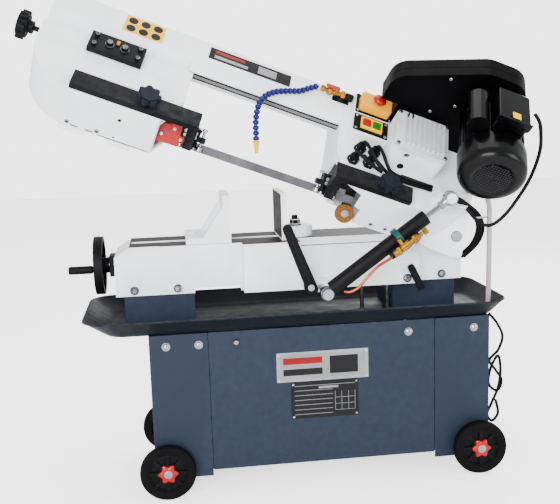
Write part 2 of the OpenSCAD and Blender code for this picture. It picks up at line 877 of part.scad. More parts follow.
// the blade: wheel-plane loop, two twisted stretches and the upright run between the guides
module saw_blade() {
    inner_r = band_wheel_r + 0.2;
    joint = 0.1;
    reach = 25;
    left_len = 150;
    right_len = 115;
    u0 = left_guide_u - reach;
    u1 = right_guide_u + reach;
    color([0.45, 0.46, 0.48]) {
        wheel_frame() translate([0, 0, -blade_w / 2]) linear_extrude(blade_w) difference() {
            band_shape(inner_r + blade_t);
            band_shape(inner_r);
            translate([u0 - left_len, -10]) square([u1 + right_len - u0 + left_len, 40]);
        }
        blade_twist(u0 - left_len + joint, left_len - 2 * joint, wheel_tilt, 0);
        arm_frame() translate([u0, -blade_t / 2, -blade_w / 2]) cube([u1 - u0, blade_t, blade_w]);
        blade_twist(u1 + joint, right_len - 2 * joint, 0, wheel_tilt);
    }
}

// ---------------------------------------------------------------- drive

module gearbox_housing() {
    wall = 8;
    color(cast_white) wheel_frame() difference() {
        translate([0, 0, arm_top]) linear_extrude(gear_w - arm_top - 10)
            round_rect([gear_u - 69, gear_v - 63], [gear_u + 69, gear_v + 62], 14);
        translate([gear_u - 69 + wall, gear_v - 63 + wall, arm_top + wall])
            cube([138 - 2 * wall, 125 - 2 * wall, 100]);
        translate([drive_u, wheel_v, 0]) cylinder(r = 15 + run, h = 100);
        translate([worm_u, 60, worm_w]) rotate([-90, 0, 0]) cylinder(r = 8 + run, h = 200);
    }
}

module gearbox_cover() {
    fins = 9;
    base = 6;
    color([0.80, 0.81, 0.82]) wheel_frame() translate([0, 0, gear_w - 10]) {
        difference() {
            linear_extrude(base + 8)
                round_rect([gear_u - 69, gear_v - 63], [gear_u + 69, gear_v + 62], 14);
            translate([gear_u - 61, gear_v - 55, -1]) cube([122, 109, 9]);
        }
        for (i = [0:fins - 1])
            translate([gear_u - 52 + i * 13, gear_v - 50, base + 8 - eps]) cube([5, 100, 9]);
    }
}

// worm shaft with the worm in the gearbox and the pulley behind it
module worm_shaft() {
    color(steel) wheel_frame() translate([worm_u, 0, worm_w]) rotate([-90, 0, 0]) {
        translate([0, 0, 82]) cylinder(r = 8, h = 164);
        translate([0, 0, 96]) cylinder(r = worm_r - 2, h = 60);
        for (i = [0:8])
            translate([0, 0, 98 + i * 6.5]) cylinder(r = worm_r, h = 3);
        pulley(worm_pulley_r);
    }
}

// V pulley around its local z axis, in the belt's plane
module pulley(r) {
    translate([0, 0, pulley_v - 9]) rotate_extrude()
        polygon([[6, 0], [r, 0], [r, 3], [r - 9, 7], [r - 9, 11], [r, 15], [r, 18], [6, 18]]);
}

module worm_wheel() {
    gap = 360 / worm_teeth;
    color([0.72, 0.58, 0.3]) wheel_frame() translate([drive_u, wheel_v, 0]) {
        difference() {
            translate([0, 0, worm_w - 11]) cylinder(r = worm_gear_r, h = 18);
            for (i = [0:worm_teeth - 1])
                rotate([0, 0, i * gap]) translate([worm_gear_r - 3, -1.8, worm_w - 12])
                    cube([5, 3.6, 20]);
        }
        translate([0, 0, -16]) cylinder(r = 12, h = worm_w);
        translate([0, 0, 13]) cylinder(r = 15, h = worm_w - 14);
    }
}

module motor_body() {
    body_v = 30;
    end_t = 10;
    color(black) {
        along_v(motor_u, motor_w, 0) {
            difference() {
                translate([0, 0, body_v]) cylinder(r = motor_r, h = box_v - body_v);
                translate([0, 0, body_v + end_t])
                    cylinder(r = motor_r - 14, h = box_v - body_v - 2 * end_t);
                translate([0, 0, -20]) cylinder(r = 9 + run, h = 300);
            }
        }
        // capacitor tube beside the body
        along_v(-120, 300, 62) cylinder(r = 25, h = 96);
        along_v(-106, 285, 84) cylinder(r = 18, h = 50);
    }
}

module motor_rotor() {
    color(steel) along_v(motor_u, motor_w, 0) {
        translate([0, 0, 4]) cylinder(r = 9, h = 240);
        translate([0, 0, 48]) cylinder(r = motor_r - 20, h = 138);
        translate([0, 0, 8]) cylinder(r = 16, h = 14);
        for (a = [0:60:300])
            rotate([0, 0, a]) translate([10, -2, 8]) cube([46, 4, 14]);
        pulley(motor_pulley_r);
    }
}

module fan_cover() {
    cover_r = motor_r + 7;
    slots = 5;
    color(black) along_v(motor_u, motor_w, fan_v) difference() {
        cylinder(r = cover_r, h = 78);
        translate([0, 0, 4]) cylinder(r = motor_r, h = 80);
        for (i = [-slots:slots])
            translate([-44, i * 9 - 2.5, -1]) cube([88, 5, 6]);
    }
}

// outline of the belt box in the plane across v, drawn as (u, -w)
module belt_outline(g) {
    corner = 52;
    low = -arm_top - 0.2 - g;
    difference() {
        hull() {
            for (p = [[-253, -205], [-95, -285], [-45, -285]])
                translate(p) circle(corner - g, $fn = 32);
            translate([-305 + g, low - 10]) square([305 + 5 - 2 * g, 10]);
        }
        // corner left free for the control box and its flap
        translate([-320, -160 - g]) square([320 - 261 + g, 160]);
        translate([-320, -box_top - 1.5 - g]) square([320 + box_u1 + 1.5 + g, 160]);
    }
}

module belt_box() {
    color(black) wheel_frame() rotate([-90, 0, 0]) difference() {
        translate([0, 0, box_v]) linear_extrude(box_mid_v - box_v) belt_outline(0);
        translate([0, 0, box_v + 3]) linear_extrude(box_mid_v - box_v) belt_outline(3);
        translate([motor_u, -motor_w, box_v - 5]) cylinder(r = 9 + run, h = 20);
        translate([worm_u, -worm_w, box_v - 5]) cylinder(r = 8 + run, h = 20);
    }
}

module belt_lid() {
    color(black) wheel_frame() rotate([-90, 0, 0]) difference() {
        translate([0, 0, box_mid_v + 0.5]) linear_extrude(box_end_v - box_mid_v) belt_outline(0);
        translate([0, 0, box_mid_v]) linear_extrude(box_end_v - box_mid_v - 3) belt_outline(3);
    }
    color(black) wheel_frame()
        for (u = [-240, -90])
            translate([u, box_end_v + 1, arm_top + 3]) rotate([0, 90, 0]) cylinder(r = 2.4, h = 40);
}

module v_belt() {
    gap = 0.4;
    thick = 7;
    color([0.1, 0.1, 0.1]) wheel_frame() rotate([-90, 0, 0]) translate([0, 0, pulley_v - 1.8])
        linear_extrude(3.6) difference() {
            belt_loop(thick + gap - 9);
            belt_loop(gap - 9);
        }
}

module belt_loop(grow) {
    hull() {
        translate([motor_u, -motor_w]) circle(motor_pulley_r + grow, $fn = 40);
        translate([worm_u, -worm_w]) circle(worm_pulley_r + grow, $fn = 40);
    }
}

module junction_box() {
    color(black) wheel_frame() difference() {
        translate([-92, 64, motor_w + motor_r - 6]) cube([78, 96, 46]);
        translate([motor_u, 0, motor_w]) rotate([-90, 0, 0]) cylinder(r = motor_r + 0.3, h = 300);
    }
}

// ---------------------------------------------------------------- blade guides

// bar on the arm's top plate, from u0 to u1
module guide_bar(u0, u1) {
    wheel_frame() translate([u0, bar_v0, arm_top]) cube([u1 - u0, bar_v1 - bar_v0, bar_top - arm_top]);
}

// hanger from the bar's end down to the blade, and the head with rollers on both sides of the blade
module guide_head(u) {
    roller_r = 5;
    hanger_l = 22;
    wheel_frame() translate([u - hanger_l / 2, bar_v0, hanger_w0])
        cube([hanger_l, hanger_v1 - bar_v0, bar_top - hanger_w0]);
    arm_frame() {
        translate([u - 22, -15, 12.5]) cube([44, 30, 24]);
        for (y = [-15, blade_t / 2 + 0.3])
            translate([u - 9, y, -9]) cube([18, 15 - blade_t / 2 - 0.3, 22]);
        for (du = [-16, 16], s = [-1, 1])
            translate([u + du, s * (blade_t / 2 + roller_r + 0.3), -8]) cylinder(r = roller_r, h = 21);
    }
}

module left_guide_arm() {
    color(black) {
        guide_bar(-1003, left_guide_u + 11);
        guide_head(left_guide_u);
    }
}

module right_guide_arm() {
    color(black) {
        guide_bar(right_guide_u - 11, -178);
        guide_head(right_guide_u);
        // bracket and axle of the chip brush
        arm_frame() {
            translate([brush_u - 12, 6.5, brush_h - 11]) cube([24, 4.5, 80]);
            translate([right_guide_u + 14, 2, 20]) cube([brush_u - right_guide_u - 2, 9, 14]);
            rod_y(4, 22, brush_u, -11, brush_h);
        }
    }
}

module chip_brush() {
    color([0.5, 0.35, 0.15]) arm_frame() difference() {
        rod_y(23, 14, brush_u, -8, brush_h);
        rod_y(4 + run, 40, brush_u, -20, brush_h);
    }
}

module blade_guard() {
    u0 = left_guide_u - 78;
    color(red) arm_frame() difference() {
        translate([u0, -8, -14]) cube([56, 20, 48]);
        translate([u0 - 1, -6, -15]) cube([58, 16, 40]);
    }
}

module left_clamp_knob() {
    color(black) wheel_frame() translate([-831, -5, bar_top + 9.5]) star_knob(28, 17, 7);
}

module right_clamp_knob() {
    color(black) wheel_frame() translate([-243, -10, bar_top + 9.5]) star_knob(28, 17, 7);
}

// ---------------------------------------------------------------- controls

box_u0 = -352;
box_u1 = gear_u - 70;
box_v0 = 124;
box_v1 = 262;
box_top = arm_top + 26;

module control_box() {
    color(cast_white) wheel_frame() difference() {
        translate([box_u0, box_v0, arm_top]) cube([box_u1 - box_u0, box_v1 - box_v0, box_top - arm_top]);
        translate([box_u0 + 3, box_v0 + 3, arm_top + 3])
            cube([box_u1 - box_u0 - 6, box_v1 - box_v0 - 6, box_top - arm_top - 6]);
        for (u = [-318, -290])
            translate([u, 161, box_top - 10]) cylinder(r = 8.1, h = 30);
    }
    // cable glands beside the box
    color(black) wheel_frame()
        for (p = [[-318, 96], [-281, 98], [-332, 54], [-292, 58]])
            translate([p[0], p[1], arm_top]) {
                cylinder(r = 13, h = 10);
                translate([0, 0, 9]) cylinder(r = 9, h = 12);
            }
}

// hinged flap over the emergency stop: [u, v] of the flap's corner, its size and the pin it turns on
flap_corner = [-342, 202];
flap_size = [80, 50];
flap_pin_v = flap_corner[1] + flap_size[1] + 1;
flap_pin_r = 1.8;
estop_at = [-298, 228];

module estop_cover() {
    color([1, 0.6, 0.05]) wheel_frame() difference() {
        union() {
            translate([flap_corner[0], flap_corner[1], box_top + 1])
                linear_extrude(20) round_rect([0, 0], flap_size, 8);
            translate([flap_corner[0] + 12, flap_pin_v, box_top + 2])
                rotate([0, 90, 0]) cylinder(r = flap_pin_r, h = flap_size[0] - 24);
        }
        translate([flap_corner[0] + 3, flap_corner[1] + 3, box_top])
            cube([flap_size[0] - 6, flap_size[1] - 6, 17]);
        translate([estop_at[0], estop_at[1], box_top]) cylinder(r = 7.1, h = 40);
    }
}

module estop_button() {
    color(red) wheel_frame() translate([estop_at[0], estop_at[1], box_top + 12]) {
        cylinder(r = 7, h = 16);
        translate([0, 0, 15]) cylinder(r = 15, h = 8);
    }
}

module start_button() {
    color([0.1, 0.5, 0.15]) wheel_frame() translate([-290, 161, box_top - 6]) cylinder(r = 8, h = 14);
}

module stop_button() {
    color(red) wheel_frame() translate([-318, 161, box_top - 6]) cylinder(r = 8, h = 14);
}

// ---------------------------------------------------------------- coolant

valve_u = -402;
valve_v = 248;

module coolant_valve() {
    color([0.75, 0.6, 0.3]) wheel_frame() difference() {
        union() {
            translate([valve_u - 40, valve_v, arm_top + 14]) rotate([0, 90, 0]) cylinder(r = 8, h = 78);
            translate([valve_u - 12, valve_v - 12, arm_top]) cube([24, 24, 24]);
        }
        translate([valve_u, valve_v, arm_top + 10]) cylinder(r = 3 + run, h = 30);
    }
}

module coolant_lever() {
    color(red) wheel_frame() translate([valve_u, valve_v, arm_top + 12]) {
        cylinder(r = 3, h = 18);
        translate([-30, -5, 15]) cube([36, 10, 4]);
    }
}

// jointed hose: way-points from the valve to the nozzle, as (along, back, up) in the arm's axes
hose_points = [
    [-451, 110, 240], [-492, 88, 212], [-539, 66, 194], [-575, 42, 168], [-584, 22, 137],
    [-577, 14, 98], [-563, 12, 60]
];

module coolant_hose() {
    nozzle_l = 31;
    color([0.1, 0.1, 0.6]) arm_frame() {
        for (i = [0:len(hose_points) - 2])
            hull() {
                translate(hose_points[i]) sphere(r = 8, $fn = 20);
                translate(hose_points[i + 1]) sphere(r = 8, $fn = 20);
            }
        translate(hose_points[6]) rotate([0, -arm_raise, 0]) translate([0, 0, -nozzle_l])
            cylinder(r1 = 4, r2 = 7.5, h = nozzle_l);
    }
}

left_leg();
right_leg();
cabinet_panels();
chip_tray();
bed_risers();
bed_casting();
coolant_tank();
wheel_axles();
stand_bolts();
pivot_shaft();
cylinder_foot();
screw_bearing();
wheel_front_left();
wheel_front_right();
wheel_rear_left();
wheel_rear_right();
lead_screw();
vise_handwheel();
crank_handle();
moving_jaw();
fixed_jaw();
stop_rod();
stop_arm();
transport_bar();
cylinder_barrel();
piston_rod();
flow_valve_knob();
bow_casting();
left_wheel_cover();
right_wheel_cover();
tension_slide();
tension_knob();
idle_wheel();
drive_wheel();
saw_blade();
gearbox_housing();
gearbox_cover();
worm_shaft();
worm_wheel();
motor_body();
motor_rotor();
fan_cover();
belt_box();
belt_lid();
v_belt();
junction_box();
left_guide_arm();
blade_guard();
left_clamp_knob();
right_guide_arm();
right_clamp_knob();
chip_brush();
control_box();
estop_cover();
estop_button();
start_button();
stop_button();
coolant_valve();
coolant_lever();
coolant_hose();
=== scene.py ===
"""Horizontal band saw on a wheeled cabinet: materials, drawn pieces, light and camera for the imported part.

Lengths are in millimetres inside the script. Each piece is drawn in one of four spaces and then placed in
metres: STAND (the row's axes), ARM (u along the saw arm, y back, z up from the blade), WHEEL (u along the
arm, v across the blade wheels, w out of them) and FEED (x along the feed cylinder, y back).
"""

import functools
import json
import math

import bmesh
import bpy
from mathutils import Matrix, Vector


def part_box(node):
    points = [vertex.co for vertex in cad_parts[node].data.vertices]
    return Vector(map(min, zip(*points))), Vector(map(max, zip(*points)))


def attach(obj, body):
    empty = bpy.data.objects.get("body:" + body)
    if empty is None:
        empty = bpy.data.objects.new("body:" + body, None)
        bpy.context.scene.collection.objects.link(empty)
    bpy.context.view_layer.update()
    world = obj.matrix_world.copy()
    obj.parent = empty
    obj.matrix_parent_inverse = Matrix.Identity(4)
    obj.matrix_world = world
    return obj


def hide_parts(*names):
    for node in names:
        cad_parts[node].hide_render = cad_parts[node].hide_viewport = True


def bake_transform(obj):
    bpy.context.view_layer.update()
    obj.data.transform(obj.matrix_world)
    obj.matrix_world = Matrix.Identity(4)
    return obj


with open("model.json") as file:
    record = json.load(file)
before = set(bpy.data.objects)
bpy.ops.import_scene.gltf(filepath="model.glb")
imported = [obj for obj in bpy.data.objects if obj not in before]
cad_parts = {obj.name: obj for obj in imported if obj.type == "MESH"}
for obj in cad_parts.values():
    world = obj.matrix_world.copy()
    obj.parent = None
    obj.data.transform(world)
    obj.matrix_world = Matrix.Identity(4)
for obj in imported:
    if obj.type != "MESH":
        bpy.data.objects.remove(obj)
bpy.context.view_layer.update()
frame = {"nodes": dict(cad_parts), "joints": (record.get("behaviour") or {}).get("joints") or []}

MM = 0.001
NODES = frame["nodes"]
JOINT = {j["name"]: j for j in frame["joints"]}


# ---- spaces


def basis(origin, x, y, z):
    """Matrix from millimetres along x, y and z at origin, which is in metres, to the row's metres."""
    m = Matrix.Identity(4)
    for column, axis in enumerate((x, y, z)):
        for row in range(3):
            m[row][column] = axis[row] * MM
    for row in range(3):
        m[row][3] = origin[row]
    return m


def joint_pos(name):
    return Vector(JOINT[name]["pos_m"])


def joint_axis(name):
    return Vector(JOINT[name]["axis"]).normalized()


RIGHT = Vector((1, 0, 0))
BACK = Vector((0, 1, 0))
UP = Vector((0, 0, 1))
AXIS_U = joint_axis("left_guide_slide")
AXIS_W = joint_axis("drive_wheel_spin")
AXIS_V = AXIS_W.cross(AXIS_U)

# centre of the drive wheel along u and v, and the distance to the idle wheel's centre
DRIVE_U = -165.0
WHEEL_V = 123.65
WHEEL_SPAN = 794
arm_origin = joint_pos("drive_wheel_spin") - (AXIS_U * DRIVE_U + AXIS_V * WHEEL_V) * MM
STAND = basis((0, 0, 0), RIGHT, BACK, UP)
ARM = basis(arm_origin, AXIS_U, BACK, AXIS_U.cross(BACK))
WHEEL = basis(arm_origin, AXIS_U, AXIS_V, AXIS_W)
IDLE_U = (joint_pos("idle_wheel_spin") - arm_origin).dot(AXIS_U) / MM

foot = joint_pos("cylinder_foot_swing")
eye = joint_pos("rod_eye_swing")
FEED_AXIS = (eye - foot).normalized()
FEED = basis(foot, FEED_AXIS, BACK, FEED_AXIS.cross(BACK))
FEED_LEN = (eye - foot).length / MM


# ---- materials


def linear(rgb):
    """sRGB 0-255 to Blender's linear colour."""
    out = []
    for c in rgb:
        c = c / 255
        out.append(c / 12.92 if c <= 0.04045 else ((c + 0.055) / 1.055) ** 2.4)
    return (*out, 1.0)


def shade(rgb, k):
    """Darker or lighter colour."""
    return tuple(min(255, max(0, c * k)) for c in rgb)


def fill(node, values):
    """Sets a node's inputs by name."""
    for name, value in values.items():
        node.inputs[name].default_value = value


class Nodes:
    """Short hand for building one material's node tree."""

    def __init__(self, name):
        self.material = bpy.data.materials.new(name)
        self.material.use_nodes = True
        self.tree = self.material.node_tree
        self.tree.nodes.clear()
        self.out = self.new("OutputMaterial")
        self.bsdf = self.new("BsdfPrincipled")
        self.link(self.bsdf.outputs[0], self.out.inputs["Surface"])
        self.coords = self.new("TexCoord").outputs["Object"]

    def new(self, kind):
        return self.tree.nodes.new("ShaderNode" + kind)

    def link(self, a, b):
        self.tree.links.new(a, b)

    def feed(self, value, socket):
        """Sets the socket to a colour or a number, or links another node's output to it."""
        if isinstance(value, (tuple, float)):
            socket.default_value = value
        else:
            self.link(value, socket)

    def stretched(self, scale):
        node = self.new("Mapping")
        fill(node, {"Scale": scale})
        self.link(self.coords, node.inputs["Vector"])
        return node.outputs[0]

    def noise(self, scale, detail=3.0, vector=None):
        node = self.new("TexNoise")
        fill(node, {"Scale": scale, "Detail": detail})
        self.link(vector or self.coords, node.inputs["Vector"])
        return node.outputs[0]

    def ramp(self, value, lo, hi, to_lo=0.0, to_hi=1.0):
        node = self.new("MapRange")
        fill(node, {"From Min": lo, "From Max": hi, "To Min": to_lo, "To Max": to_hi})
        self.link(value, node.inputs["Value"])
        return node.outputs[0]

    def mix(self, factor, a, b):
        node = self.new("Mix")
        node.data_type = "RGBA"
        self.link(factor, node.inputs["Factor"])
        self.feed(a, node.inputs["A"])
        self.feed(b, node.inputs["B"])
        return node.outputs["Result"]

    def times(self, a, b):
        node = self.new("Math")
        node.operation = "MULTIPLY"
        self.link(a, node.inputs[0])
        self.feed(b, node.inputs[1])
        return node.outputs[0]

    def edges(self, lo, hi):
        """Bright where the surface has a sharp outer edge."""
        node = self.new("NewGeometry")
        return self.ramp(node.outputs["Pointiness"], lo, hi)

    def bump(self, height, strength, distance):
        node = self.new("Bump")
        fill(node, {"Strength": strength, "Distance": distance})
        self.link(height, node.inputs["Height"])
        return node.outputs[0]


@functools.cache
def surface(
    name, rgb, rough=0.45, metal=0.0, tone=0.06, tone_scale=9.0, grain=0.15, grain_scale=420.0,
    depth=0.0004, spread=0.08, wear_and_edge_highlight=None, wear_and_highlight_lo=0.53, coat=0.0, brushed=None, gleam=0.2,
):
    """Colour that drifts, fine relief, uneven gloss and, if wear_and_edge_highlight is given, sharp edges in
    a lighter colour: partly rubbed wear, partly a painted edge highlight.
    """
    n = Nodes(name)
    drift = n.ramp(n.noise(tone_scale, 5.0), 0.3, 0.7)
    colour = n.mix(drift, linear(shade(rgb, 1 - tone)), linear(shade(rgb, 1 + tone)))
    # painted highlight: sharp edges take the lighter colour, which stands partly for wear and partly for
    # light catching the edges
    if wear_and_edge_highlight:
        patchy = n.ramp(n.noise(60.0, 4.0), 0.35, 0.65)
        colour = n.mix(n.times(n.edges(wear_and_highlight_lo, wear_and_highlight_lo + 0.07), patchy), colour, linear(wear_and_edge_highlight))
    n.link(colour, n.bsdf.inputs["Base Color"])
    uneven = n.noise(tone_scale * 4, 3.0)
    gloss = n.ramp(uneven, 0.3, 0.7, max(0.02, rough - spread), min(1.0, rough + spread))
    n.link(gloss, n.bsdf.inputs["Roughness"])
    if brushed:
        relief = n.noise(grain_scale, 2.0, n.stretched(brushed))
    else:
        relief = n.noise(grain_scale, 3.0)
    n.link(n.bump(relief, grain, depth), n.bsdf.inputs["Normal"])
    fill(n.bsdf, {"Metallic": metal, "Specular IOR Level": gleam})
    fill(n.bsdf, {"Coat Weight": coat, "Coat Roughness": 0.12})
    return n.material


def bed_surface(name, paint, iron, top):
    """Painted casting whose faces at the height top (metres) are machined bare iron."""
    n = Nodes(name)
    split = n.new("SeparateXYZ")
    n.link(n.coords, split.inputs[0])
    above = n.ramp(split.outputs["Z"], top + 0.0003, top + 0.0006, 1.0, 0.0)
    bare = n.times(n.ramp(split.outputs["Z"], top - 0.0006, top - 0.0003), above)
    drift = n.ramp(n.noise(8.0, 5.0), 0.3, 0.7)
    painted = n.mix(drift, linear(shade(paint, 0.95)), linear(shade(paint, 1.03)))
    marks = n.ramp(n.noise(140.0, 4.0, n.stretched((0.06, 1.0, 1.0))), 0.3, 0.7)
    metal = n.mix(marks, linear(shade(iron, 0.7)), linear(shade(iron, 1.35)))
    n.link(n.mix(bare, painted, metal), n.bsdf.inputs["Base Color"])
    n.link(n.times(bare, 0.12), n.bsdf.inputs["Metallic"])
    n.link(n.bump(n.noise(380.0, 3.0), 0.15, 0.0004), n.bsdf.inputs["Normal"])
    fill(n.bsdf, {"Roughness": 0.5, "Specular IOR Level": 0.06})
    return n.material


WHITE = (232, 234, 238)
NAVY = (22, 31, 46)
# height of the bed's machined faces, in metres
BED_TOP = 0.594


def cast_paint():
    return surface(
        "cast_paint", WHITE, rough=0.38, tone=0.025, grain=0.22, grain_scale=300, wear_and_edge_highlight=(235, 236, 240)
    )


def smooth_paint():
    return surface("smooth_paint", WHITE, rough=0.33, tone=0.02, grain=0.06)


def bed_paint():
    return bed_surface("bed_paint", WHITE, (24, 17, 14), BED_TOP)


def stand_paint():
    return surface(
        "stand_paint", NAVY, rough=0.55, tone=0.02, grain=0.2, grain_scale=520, wear_and_edge_highlight=(44, 54, 70),
        wear_and_highlight_lo=0.56,
    )


def tray_paint():
    return surface(
        "tray_paint", (13, 16, 22), rough=0.5, tone=0.04, grain=0.22, grain_scale=520, wear_and_edge_highlight=(44, 50, 60),
        gleam=0.12,
    )


def black_steel():
    return surface(
        "black_steel", (9, 9, 11), rough=0.5, tone=0.12, grain=0.25, wear_and_edge_highlight=(30, 30, 34), wear_and_highlight_lo=0.56,
        gleam=0.1,
    )


def black_plastic():
    return surface(
        "black_plastic", (8, 8, 10), rough=0.5, tone=0.15, grain=0.25, grain_scale=700, gleam=0.08
    )


def gloss_black():
    return surface(
        "gloss_black", (2, 2, 3), rough=0.3, tone=0.1, grain=0.12, grain_scale=160, coat=0.16,
        spread=0.05, gleam=0.08,
    )


def box_black():
    return surface("box_black", (2, 2, 3), rough=0.42, tone=0.1, grain_scale=200, gleam=0.04)


def knob_plastic():
    return surface(
        "knob_plastic", (15, 17, 26), rough=0.5, tone=0.1, grain=0.3, grain_scale=800, gleam=0.12
    )


def rubber():
    return surface(
        "rubber", (9, 9, 10), rough=0.75, tone=0.1, grain=0.35, grain_scale=600, wear_and_edge_highlight=(24, 24, 24),
        wear_and_highlight_lo=0.57, gleam=0.06,
    )


def zinc():
    return surface(
        "zinc", (70, 72, 78), rough=0.36, metal=0.9, tone=0.15, tone_scale=60, grain=0.2,
        wear_and_edge_highlight=(170, 170, 174),
    )


def steel():
    return surface(
        "steel", (138, 140, 146), rough=0.28, metal=1, tone=0.08, grain=0.1, wear_and_edge_highlight=(215, 216, 220)
    )


def chrome():
    return surface("chrome", (126, 128, 134), rough=0.1, metal=1, tone=0.03, grain=0.02)


def blade_steel():
    return surface(
        "blade_steel", (84, 84, 88), rough=0.34, metal=1, tone=0.15, grain=0.3, grain_scale=500,
        brushed=(0.05, 1, 1),
    )


def iron():
    return surface(
        "iron", (96, 92, 90), metal=0.85, tone=0.18, tone_scale=30, grain=0.3, wear_and_edge_highlight=(150, 146, 142)
    )


def brass():
    return surface("brass", (150, 104, 34), rough=0.28, metal=1, tone=0.12, tone_scale=40, grain=0.1)


def copper():
    return surface("copper", (150, 70, 48), rough=0.3, metal=1, tone=0.12, tone_scale=40, grain=0.1)


def aluminium():
    return surface("aluminium", (222, 224, 228), metal=0.25, grain=0.3, grain_scale=380)


def red_plastic():
    return surface("red_plastic", (150, 0, 2), rough=0.32, grain=0.12, coat=0.2)


def red_paint():
    return surface("red_paint", (165, 1, 2), rough=0.35, tone=0.05, coat=0.2)


def orange_plastic():
    return surface("orange_plastic", (236, 156, 0), rough=0.36, tone=0.04, coat=0.15)


def green_plastic():
    return surface("green_plastic", (8, 92, 26), rough=0.36, grain=0.12, coat=0.15)


def blue_plastic():
    return surface("blue_plastic", (8, 9, 82), rough=0.34, tone=0.08, tone_scale=60, grain=0.1, coat=0.15)


def yellow_plastic():
    return surface("yellow_plastic", (226, 168, 4), rough=0.36, tone=0.05, grain=0.12)


def teal_paint():
    return surface("teal_paint", (4, 60, 54), rough=0.4, tone=0.08)


def bristle():
    return surface(
        "bristle", (104, 66, 26), rough=0.8, tone=0.3, tone_scale=300, grain=0.9, grain_scale=1500,
        depth=0.001,
    )


def cable_black():
    return surface("cable_black", (7, 7, 9), rough=0.5, tone=0.1, grain_scale=800, gleam=0.1)


def plate_dark():
    return surface("plate_dark", (9, 9, 11), rough=0.55, tone=0.1, grain=0.1)


def plate_grey():
    return surface("plate_grey", (128, 128, 130), rough=0.4, metal=0.4, tone=0.08, grain=0.1)


def plate_red():
    return surface("plate_red", (120, 8, 4), rough=0.4, grain=0.1)


def label_yellow():
    return surface("label_yellow", (226, 172, 0), tone=0.04, grain=0.08)


def jaw_brown():
    return surface("jaw_brown", (26, 16, 12), rough=0.55, tone=0.2, grain=0.3, gleam=0.1)


def pivot_grey():
    return surface("pivot_grey", (84, 88, 102), metal=0.3, tone=0.08, grain=0.2, gleam=0.12)


def grille_grey():
    return surface("grille_grey", (24, 24, 28), rough=0.5, tone=0.1, grain=0.1)


def hose_grey():
    return surface("hose_grey", (158, 148, 150), rough=0.5)


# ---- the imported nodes


def add_object(name, data):
    """New object in the scene."""
    obj = bpy.data.objects.new(name, data)
    bpy.context.scene.collection.objects.link(obj)
    return obj


def add_bevel(obj, width):
    """Rounds the edges that are sharper than 38 degrees; width in millimetres."""
    soft = obj.modifiers.new("bevel", "BEVEL")
    soft.width = width * MM
    soft.segments = 2
    soft.limit_method = "ANGLE"
    soft.angle_limit = math.radians(38)


def finish_node(name, material, bevel=0.0):
    """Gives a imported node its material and, where bevel is set, softened edges."""
    obj = NODES[name]
    obj.data.materials.clear()
    obj.data.materials.append(material())
    if bevel:
        weld = obj.modifiers.new("weld", "WELD")
        weld.merge_threshold = 0.00001
        flat = obj.modifiers.new("flat", "DECIMATE")
        flat.decimate_type = "DISSOLVE"
        flat.angle_limit = math.radians(0.6)
        add_bevel(obj, bevel)
        weighted = obj.modifiers.new("normals", "WEIGHTED_NORMAL")
        weighted.weight = 80


FINISHES = [
    (stand_paint, 1.5, ("left_leg", "right_leg", "cabinet_panels", "bed_risers")),
    (tray_paint, 0.0, ("chip_tray",)),
    (bed_paint, 2.5, ("bed_casting",)),
    (cast_paint, 4.0, ("bow_casting",)),
    (cast_paint, 2.0, ("moving_jaw", "fixed_jaw")),
    (smooth_paint, 0.8, ("left_wheel_cover", "right_wheel_cover", "control_box")),
    (cast_paint, 3.0, ("gearbox_housing",)),
    (aluminium, 1.5, ("gearbox_cover",)),
    (steel, 0.8, ("wheel_axles", "pivot_shaft", "cylinder_foot", "lead_screw")),
    (steel, 0.8, ("stop_rod", "stand_bolts", "worm_shaft")),
    (steel, 0.0, ("motor_rotor", "coolant_tank")),
    (chrome, 0.5, ("piston_rod",)),
    (blade_steel, 0.0, ("saw_blade",)),
    (black_steel, 1.2, ("screw_bearing", "stop_arm", "transport_bar", "cylinder_barrel", "tension_slide")),
    (black_steel, 1.5, ("left_guide_arm", "right_guide_arm")),
    (gloss_black, 4.0, ("motor_body", "fan_cover", "junction_box")),
    (box_black, 4.0, ("belt_box", "belt_lid")),
    (black_plastic, 3.0, ("vise_handwheel", "crank_handle", "tension_knob")),
    (knob_plastic, 2.0, ("left_clamp_knob", "right_clamp_knob")),
    (rubber, 3.0, ("wheel_front_left", "wheel_front_right", "wheel_rear_left", "wheel_rear_right")),
    (rubber, 3.0, ("v_belt",)),
    (iron, 1.0, ("idle_wheel", "drive_wheel")),
    (brass, 0.5, ("flow_valve_knob", "worm_wheel", "coolant_valve")),
    (red_paint, 1.0, ("blade_guard",)),
    (red_plastic, 1.5, ("estop_button", "stop_button", "coolant_lever")),
    (green_plastic, 1.5, ("start_button",)),
    (orange_plastic, 2.0, ("estop_cover",)),
    (blue_plastic, 0.0, ("coolant_hose",)),
    (bristle, 1.0, ("chip_brush",)),
]

for material, bevel, names in FINISHES:
    for name in names:
        finish_node(name, material, bevel)


# ---- drawing


FRONT = (0, -1, 0)
LEFT = (-1, 0, 0)
ALONG = (1, 0, 0)
OUT = (0, 0, 1)


def smooth_path(points, steps):
    """Points along a Catmull-Rom curve through the way-points."""
    p = [Vector(q) for q in points]
    p = [2 * p[0] - p[1], *p, 2 * p[-1] - p[-2]]
    out = []
    for a, b, c, d in zip(p, p[1:], p[2:], p[3:]):
        square = 2 * a - 5 * b + 4 * c - d
        cube = 3 * b - a - 3 * c + d
        for i in range(steps):
            t = i / steps
            out.append(0.5 * (2 * b + (c - a) * t + square * t * t + cube * t**3))
    return [*out, p[-2]]


def wavy(radius, depth, waves):
    """Radius of a lobed or fluted ring as a function of the angle."""
    return lambda angle: radius + depth * math.cos(waves * angle)


def ring_points(count, radius):
    """Circle, or wavy circle if radius is a function of the angle."""
    out = []
    for k in range(count):
        a = 2 * math.pi * k / count
        r = radius(a) if callable(radius) else radius
        out.append((r * math.cos(a), r * math.sin(a)))
    return out


